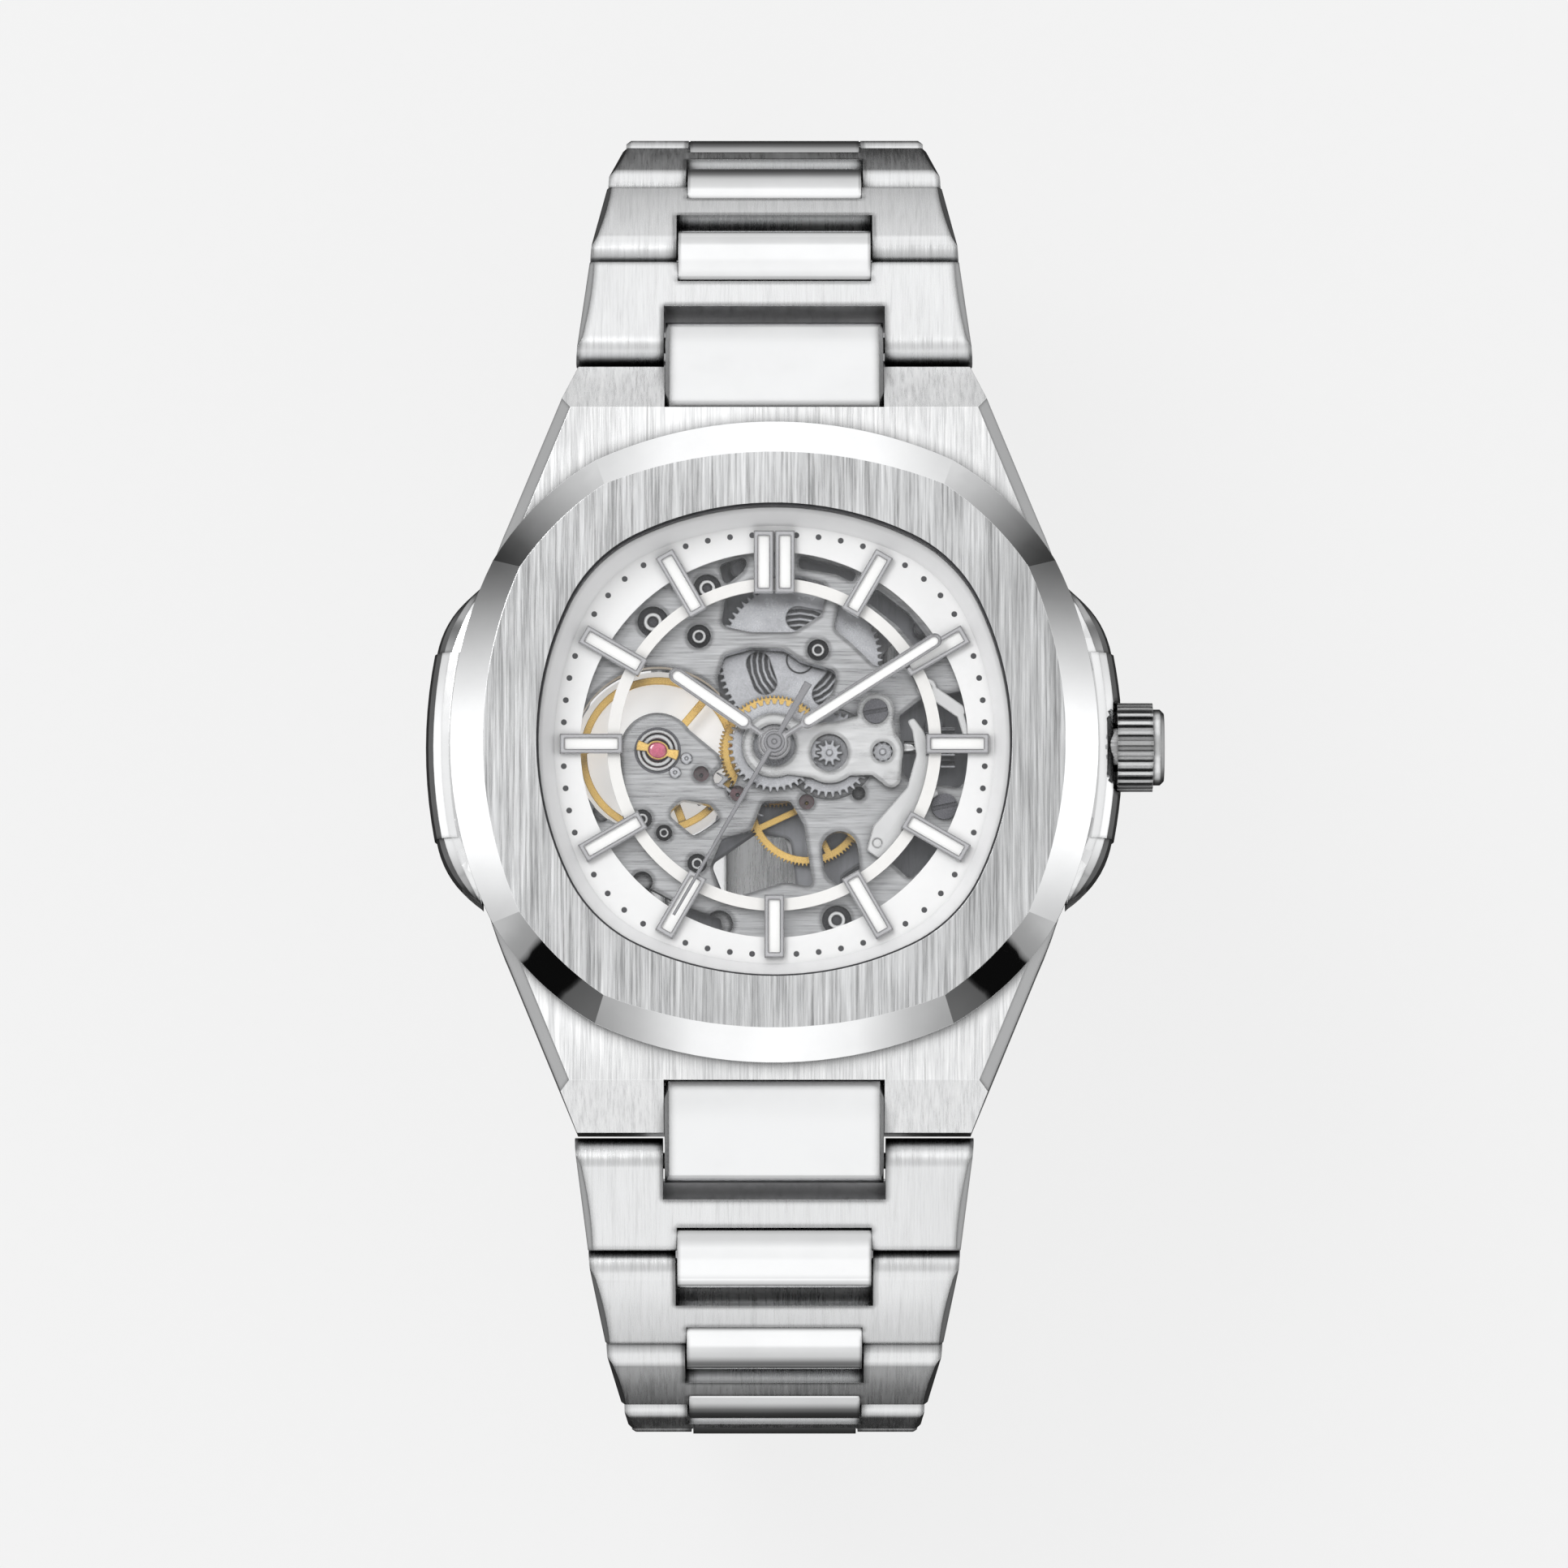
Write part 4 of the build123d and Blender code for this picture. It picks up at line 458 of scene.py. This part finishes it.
def paint_plate(name, top_metal, wall_metal):
    """Flat faces in one metal and upright walls in another."""
    faces = Faces(nodes[name])
    faces.paint([top_metal, wall_metal], (np.abs(faces.normal[:, 2]) < 0.5).astype(int))


def paint_dial():
    """The inner ring is slightly warmer than the hour ring."""
    faces = Faces(nodes["dial_ring"])
    radius = np.hypot(faces.centre[:, 0], faces.centre[:, 1])
    faces.paint([dial_white, inner_white], (radius < INNER_RING_R).astype(int))


def is_back_screw(low, high):
    """1 for a screw of the case back, which starts near the back and reaches into the case."""
    return int(high[2] > 2 and low[2] < 1)


def paint_solids(name, chooser, materials):
    """Material by whole solid: chooser gets the solid's low and high corner in millimetres."""
    faces = Faces(nodes[name])
    choice = np.zeros(len(faces.centre), dtype=int)
    for piece in np.unique(faces.piece):
        choice[faces.piece == piece] = chooser(*faces.extent(piece))
    faces.paint(materials, choice)


paint_bezel()
paint_mid_case()
for side in ("12", "6"):
    for number in range(1, 9):
        paint_row(f"row_{side}_{number}")
paint_dial()
paint_by_height("hour_markers", marker_steel, lume, MARKER_TOP - 0.15 * MM)
for hand in ("hour_hand", "minute_hand"):
    paint_by_height(hand, hand_steel, lume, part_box(hand)[0][2] + 0.08 * MM)
paint_plate("main_plate", plate_metal, plate_edge)
paint_plate("motion_cover", cover_metal, plate_edge)
paint_plate("case_back", side_steel, polished_steel)
paint_solids("screws", is_back_screw, [screw_metal, steel_wheels])
paint_all(["crown", "clasp_button_left", "clasp_button_right", "middle_blade", "inner_blade"],
          polished_steel)
paint_all(["end_links"], end_link_steel)
paint_all(["clasp_cover"], link_steel)
paint_all(["crystal_front", "crystal_back"], crystal)
paint_all(["case_seals", "crown_seal"], rubber)
paint_all(["flange_ring"], flange_grey)
paint_all(["movement_holder"], holder_white)
paint_all(["seconds_hand"], seconds_steel)
paint_all(["movement_bridges"], bridge_metal)
paint_all(["rotor"], weight_metal)
paint_all(["third_wheel", "balance_wheel"], gilt)
paint_above("centre_wheel", gilt, steel_wheels, CANNON_PINION_Z)
paint_above("fourth_wheel", gilt, seconds_steel, FOURTH_WHEEL_TOP_Z)
paint_all(["barrel", "minute_wheel", "escape_wheel", "barrel_arbor", "mainspring", "pallet_fork",
           "hairspring", "setting_wheel", "hour_wheel", "winding_pinion", "sliding_clutch"], steel_wheels)
paint_all(["yoke", "setting_lever"], lever_steel)
paint_all(["jewels"], bearing_ruby)


# ================================================================ small pieces that are only looks
def add_mesh(name, points, faces, material, body):
    mesh = bpy.data.meshes.new(name)
    mesh.from_pydata(points, [], faces)
    mesh.update()
    mesh.materials.append(material)
    obj = bpy.data.objects.new(name, mesh)
    bpy.context.scene.collection.objects.link(obj)
    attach(obj, body)
    return obj


def lathe(profile, centre, steps=48):
    """Points and faces of a profile [(radius, z), ...] turned about a vertical line."""
    points, faces = [], []
    for radius, z in profile:
        for i in range(steps):
            angle = 2 * math.pi * i / steps
            points.append((centre[0] + radius * math.cos(angle), centre[1] + radius * math.sin(angle), z))
    for ring_number in range(len(profile) - 1):
        for i in range(steps):
            a, b = ring_number * steps + i, ring_number * steps + (i + 1) % steps
            faces.append((a, b, b + steps, a + steps))
    faces.append(tuple(range(steps - 1, -1, -1)))
    faces.append(tuple(range((len(profile) - 1) * steps, len(profile) * steps)))
    return points, faces


def add_dots():
    """Printed minute dots on the dial, four between each pair of hours."""
    points, faces = [], []
    profile = [(DOT_R, DIAL_TOP - 0.01 * MM), (DOT_R, DIAL_TOP + 0.015 * MM)]
    for minute in range(60):
        if minute % 5 == 0:
            continue
        angle = math.radians(6 * minute)
        radius = DOT_AXIS_R + (DOT_DIAGONAL_R - DOT_AXIS_R) * math.sin(2 * angle) ** 2
        centre = (radius * math.sin(angle), radius * math.cos(angle))
        dot_points, dot_faces = lathe(profile, centre, 12)
        faces += [tuple(len(points) + corner for corner in face) for face in dot_faces]
        points += dot_points
    add_mesh("dial_dots", points, faces, ink, "case")


def add_lathe(name, profile, centre, material):
    """A turned piece fixed to the case. profile is [(radius, z), ...] in millimetres above the main plate."""
    scaled = [(radius * MM, PLATE_TOP + z * MM) for radius, z in profile]
    points, faces = lathe(scaled, centre)
    add_mesh(name, points, faces, material, "case")


def ring_profile(outer, inner, low, high, edge=0.03):
    """Cross-section of a flat ring with broken top edges, run from its inside to its outside."""
    return [(inner, low), (inner, high - edge), (inner + edge, high), (outer - edge, high),
            (outer, high - edge), (outer, low), (inner, low)]


def add_shock_setting():
    """Ruby bearing of the balance: steel rings and a domed stone."""
    centre = (BALANCE_X, BALANCE_Y)
    outer_ring = ring_profile(1.28, 1.08, 0.005, 0.16)
    groove = ring_profile(1.44, 1.29, 0.003, 0.02, 0.005)
    inner_ring = ring_profile(1.0, 0.74, -0.3, 0.08)
    add_lathe("shock_outer_ring", outer_ring, centre, lever_steel)
    add_lathe("shock_groove", groove, centre, screw_metal)
    add_lathe("shock_inner_ring", inner_ring, centre, lever_steel)
    dome = [(0.6, -0.3), (0.6, 0.06), (0.54, 0.12), (0.38, 0.17), (0.16, 0.19), (0.15, 0.16), (0.02, 0.16)]
    add_lathe("shock_stone", dome, centre, ruby)


def add_shock_spring():
    """Gilt spring over the balance's stone: an oval loop with a tab at each end."""
    loop, hole, tab_length, squeeze = 0.70, 0.58, 0.62, 0.82
    turn = math.radians(-14)
    rotate = np.array(((math.cos(turn), -math.sin(turn)), (math.sin(turn), math.cos(turn))))
    steps = 64
    outer, inner = [], []
    for i in range(steps):
        angle = 2 * math.pi * i / steps
        tab = tab_length if abs(math.cos(angle)) > 0.93 else 0.0
        outer.append((loop + tab) * np.array((math.cos(angle), squeeze * math.sin(angle))))
        inner.append(hole * np.array((math.cos(angle), 0.84 * math.sin(angle))))
    points, faces = [], []
    for height in (0.19, 0.25):
        for outline in (outer, inner):
            for place in outline:
                x, y = rotate @ place
                points.append((BALANCE_X + x * MM, BALANCE_Y + y * MM, PLATE_TOP + height * MM))
    for i in range(steps):
        j = (i + 1) % steps
        low_out, low_in, top_out, top_in = (k * steps for k in range(4))
        faces.append((top_out + i, top_out + j, top_in + j, top_in + i))
        faces.append((low_out + j, low_out + i, low_in + i, low_in + j))
        faces.append((low_out + i, low_out + j, top_out + j, top_out + i))
        faces.append((low_in + j, low_in + i, top_in + i, top_in + j))
    add_mesh("shock_spring", points, faces, gilt, "case")


def add_balance_shield():
    """Thin white sheet behind the balance, between its cock and the rotor, that glows with painted light as
    if lit through from behind.
    """
    base = (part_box("rotor")[1][2] - PLATE_TOP) / MM + 0.03
    thickness = 0.05
    outline = [(5.3, base), (5.3, base + thickness), (0.02, base + thickness), (0.02, base)]
    add_lathe("balance_shield", outline, (BALANCE_X, BALANCE_Y), glowing_shield_white)


def points_of_other_nodes(left_out):
    """All corner points of the nodes in millimetres, but for the ones left out."""
    clouds = []
    for name, obj in nodes.items():
        if obj.type == "MESH" and name not in left_out:
            clouds.append(np.array([obj.matrix_world @ vertex.co for vertex in obj.data.vertices]) / MM)
    return np.vstack(clouds)


def round_holes(name):
    """(x, y, radius, bottom) in millimetres of each empty round hole in a node."""
    faces = Faces(nodes[name])
    walls = np.abs(faces.normal[:, 2]) < 0.1
    patch = Faces.label(nodes[name].data, walls)
    centre, normal = faces.centre[walls], faces.normal[walls]
    others = points_of_other_nodes((name, "dial_ring", "crystal_front"))
    holes = []
    for number in np.unique(patch):
        wall, facing = centre[patch == number], normal[patch == number]
        low, high = wall.min(axis=0), wall.max(axis=0)
        middle = (low + high) / 2
        reach = np.hypot(wall[:, 0] - middle[0], wall[:, 1] - middle[1])
        inward = ((wall - middle)[:, :2] * facing[:, :2]).sum(axis=1) < 0
        if len(wall) < 12 or reach.std() > 0.04 * reach.mean() or not inward.all():
            continue
        inside = np.hypot(others[:, 0] - middle[0], others[:, 1] - middle[1]) < reach.mean()
        within = (others[:, 2] > low[2] - 0.2) & (others[:, 2] < PLATE_TOP / MM + 0.3)
        if reach.mean() > CUP_SMALLEST and not (inside & within).any():
            bottom = 2 * low[2] - high[2]       # the triangles' centres lie at one and two thirds of the wall
            holes.append((middle[0], middle[1], reach.mean(), bottom))
    return holes


def add_cups():
    """A dark cup with a bright turned stud in each empty round hole of the main plate."""
    points, faces, choice = [], [], []
    steps = 32
    stud_rim = (3, 4, 5)                        # the steps of the profile that are bright
    stud_top = PLATE_TOP / MM - 0.06
    for x, y, radius, bottom in round_holes("main_plate"):
        rim, floor = radius - 0.03, bottom + 0.1
        pit = (floor + stud_top) / 2
        profile = [(rim, bottom + 0.03), (rim, floor), (0.66 * rim, floor), (0.66 * rim, stud_top - 0.05),
                   (0.60 * rim, stud_top), (0.38 * rim, stud_top), (0.34 * rim, stud_top - 0.05),
                   (0.34 * rim, pit), (0.02, pit), (0.02, bottom + 0.03)]
        scaled = [(reach * MM, height * MM) for reach, height in profile]
        cup_points, cup_faces = lathe(scaled, (x * MM, y * MM), steps)
        faces += [tuple(len(points) + corner for corner in face) for face in cup_faces]
        points += cup_points
        choice += [int(index // steps in stud_rim) for index in range(len(cup_faces))]
    cups = add_mesh("plate_cups", points, faces, screw_metal, "case")
    cups.data.materials.append(lever_steel)
    cups.data.polygons.foreach_set("material_index", choice)


def add_studs():
    """Small turned studs beside the balance bearing."""
    stud = [(0.02, 0.1), (0.1, 0.1), (0.12, 0.14), (0.3, 0.14), (0.36, 0.1), (0.36, 0.005)]
    for number, (x, y) in enumerate(((1.78, -0.5), (1.08, -1.37))):
        centre = (BALANCE_X + x * MM, BALANCE_Y + y * MM)
        add_lathe(f"stud_{number + 1}", stud[::-1], centre, steel_wheels)


add_dots()
add_shock_setting()
add_shock_spring()
add_balance_shield()
add_studs()
add_cups()

# ================================================================ floor, light and camera
def add_floor():
    """Pale paper that glows a little, so that it reads as an even background."""
    low = cad_box[0][2] - 0.2 * MM
    half = 1.6
    corners = [(-half, -half, low), (half, -half, low), (half, half, low), (-half, half, low)]
    mesh = bpy.data.meshes.new("floor")
    mesh.from_pydata(corners, [], [(0, 1, 2, 3)])
    shader = Shader("floor_paper")
    grain = shader.noise((900, 900, 900), 3.0)
    paper = shader.ramp(grain, ((0.3, (0.078,) * 3), (0.7, (0.082,) * 3)))
    shader.link(paper, shader.bsdf.inputs["Base Color"])
    shader.set(Roughness=0.9, Emission_Color=(1, 1, 1, 1), Emission_Strength=0.79)
    mesh.materials.append(shader.material)
    floor = bpy.data.objects.new("floor", mesh)
    bpy.context.scene.collection.objects.link(floor)
    floor.visible_glossy = False


def add_key_light():
    """Square light above the upper left, aimed at the watch."""
    light = bpy.data.lights.new("key", "AREA")
    light.shape = "RECTANGLE"
    light.size, light.size_y = 0.35, 0.35
    light.energy = 2.5
    key = bpy.data.objects.new("key", light)
    key.location = KEY_PLACE
    key.rotation_euler = (-Vector(KEY_PLACE)).to_track_quat("-Z", "Y").to_euler()
    bpy.context.scene.collection.objects.link(key)


def fill_ramp(ramp, stops):
    """Grey levels along a colour ramp; stops are (place from 0 to 1, level)."""
    while len(ramp.elements) < len(stops):
        ramp.elements.new(0.5)
    for element, (place, level) in zip(ramp.elements, stops):
        element.position = place
        element.color = (level, level, level, 1)


# Brightness of the studio by sine of the height above the horizon, from straight down to straight up.
DOME = ((-1.0, 0.02), (-0.8, 0.05), (-0.6, 0.20), (-0.35, 0.72), (0.05, 0.95), (0.5, 1.10), (0.78, 1.14),
        (0.90, 0.82), (1.0, 0.74))
# Brightness of the wall cards by degrees from 12 o'clock, the same on both sides.
WALL = ((0, 1.22), (12, 1.16), (22, 0.78), (27.5, 0.80), (34, 0.60), (42, 0.30), (48, 0.10), (54.3, 0.012),
        (58.2, 0.10), (64, 0.30), (72, 0.75), (84, 1.40), (98, 1.25), (110.8, 0.62), (115, 0.72), (122, 0.40),
        (125.6, 0.34), (126.2, 0.004), (137, 0.004), (137.6, 0.11), (146.2, 0.16), (152.7, 0.34), (160, 0.60),
        (168, 1.05), (180, 1.22))
WALL_LOW, WALL_HIGH, WALL_FADE = 0.10, 0.50, 0.10       # sine of the cards' edges, and how far they blend
SIDE_DARKNESS, SIDE_REACH, SIDE_LOW = 0.42, 0.62, -0.72 # dark cards low down at 3 and 9 o'clock


def build_world():
    """Pale studio dome with a wall of light and dark cards standing round the watch."""
    world = bpy.data.worlds.new("studio")
    world.use_nodes = True
    tree = world.node_tree

    def node(kind, **inputs):
        made = tree.nodes.new(kind)
        for name, value in inputs.items():
            made.inputs[name.replace("_", " ")].default_value = value
        return made

    def ranged(source, low, high, to_low, to_high):
        made = node("ShaderNodeMapRange", From_Min=low, From_Max=high, To_Min=to_low, To_Max=to_high)
        tree.links.new(source, made.inputs["Value"])
        return made.outputs["Result"]

    def calc(operation, first, second=None):
        made = tree.nodes.new("ShaderNodeMath")
        made.operation = operation
        tree.links.new(first, made.inputs[0])
        if second is not None:
            tree.links.new(second, made.inputs[1])
        return made.outputs["Value"]

    split = node("ShaderNodeSeparateXYZ")
    tree.links.new(node("ShaderNodeTexCoord").outputs["Generated"], split.inputs["Vector"])
    x, y, z = (split.outputs[axis] for axis in "XYZ")
    dome, wall, mix = node("ShaderNodeValToRGB"), node("ShaderNodeValToRGB"), node("ShaderNodeMix")
    fill_ramp(dome.color_ramp, [((sine + 1) / 2, level) for sine, level in DOME])
    fill_ramp(wall.color_ramp, [(degree / 180, level) for degree, level in WALL])
    mix.data_type = "RGBA"
    tree.links.new(ranged(z, -1.0, 1.0, 0.0, 1.0), dome.inputs["Fac"])
    around = calc("ARCTAN2", calc("ABSOLUTE", x), y)
    tree.links.new(ranged(around, 0.0, math.pi, 0.0, 1.0), wall.inputs["Fac"])
    rising = ranged(z, WALL_LOW - WALL_FADE, WALL_LOW, 0.0, 1.0)
    falling = ranged(z, WALL_HIGH, WALL_HIGH + WALL_FADE, 1.0, 0.0)
    colour_a, colour_b = [socket for socket in mix.inputs if socket.type == "RGBA"]
    tree.links.new(calc("MULTIPLY", rising, falling), mix.inputs["Factor"])
    tree.links.new(dome.outputs["Color"], colour_a)
    tree.links.new(wall.outputs["Color"], colour_b)
    mixed = next(socket for socket in mix.outputs if socket.type == "RGBA")
    tree.links.new(mixed, tree.nodes["Background"].inputs["Color"])
    sideways = ranged(calc("ABSOLUTE", x), SIDE_REACH, SIDE_REACH + 0.15, 0.0, SIDE_DARKNESS)
    above = ranged(z, SIDE_LOW - WALL_FADE, SIDE_LOW, 0.0, 1.0)
    below = ranged(z, WALL_LOW - WALL_FADE / 2, WALL_LOW, 1.0, 0.0)
    dark = calc("MULTIPLY", sideways, calc("MULTIPLY", above, below))
    tree.links.new(ranged(dark, 0.0, 1.0, 1.0, 0.0), tree.nodes["Background"].inputs["Strength"])
    bpy.context.scene.world = world


def add_camera():
    data = bpy.data.cameras.new("camera")
    data.lens = LENS_MM
    data.clip_start, data.clip_end = 0.01, 10
    camera = bpy.data.objects.new("camera", data)
    direction = Vector((0, -math.sin(CAMERA_TILT), math.cos(CAMERA_TILT)))
    camera.location = Vector(AIM) + CAMERA_DISTANCE * direction
    camera.rotation_euler = (CAMERA_TILT, 0, 0)
    bpy.context.scene.collection.objects.link(camera)
    bpy.context.scene.camera = camera


add_floor()
build_world()
add_key_light()
add_camera()
bpy.context.scene.view_settings.view_transform = "Standard"
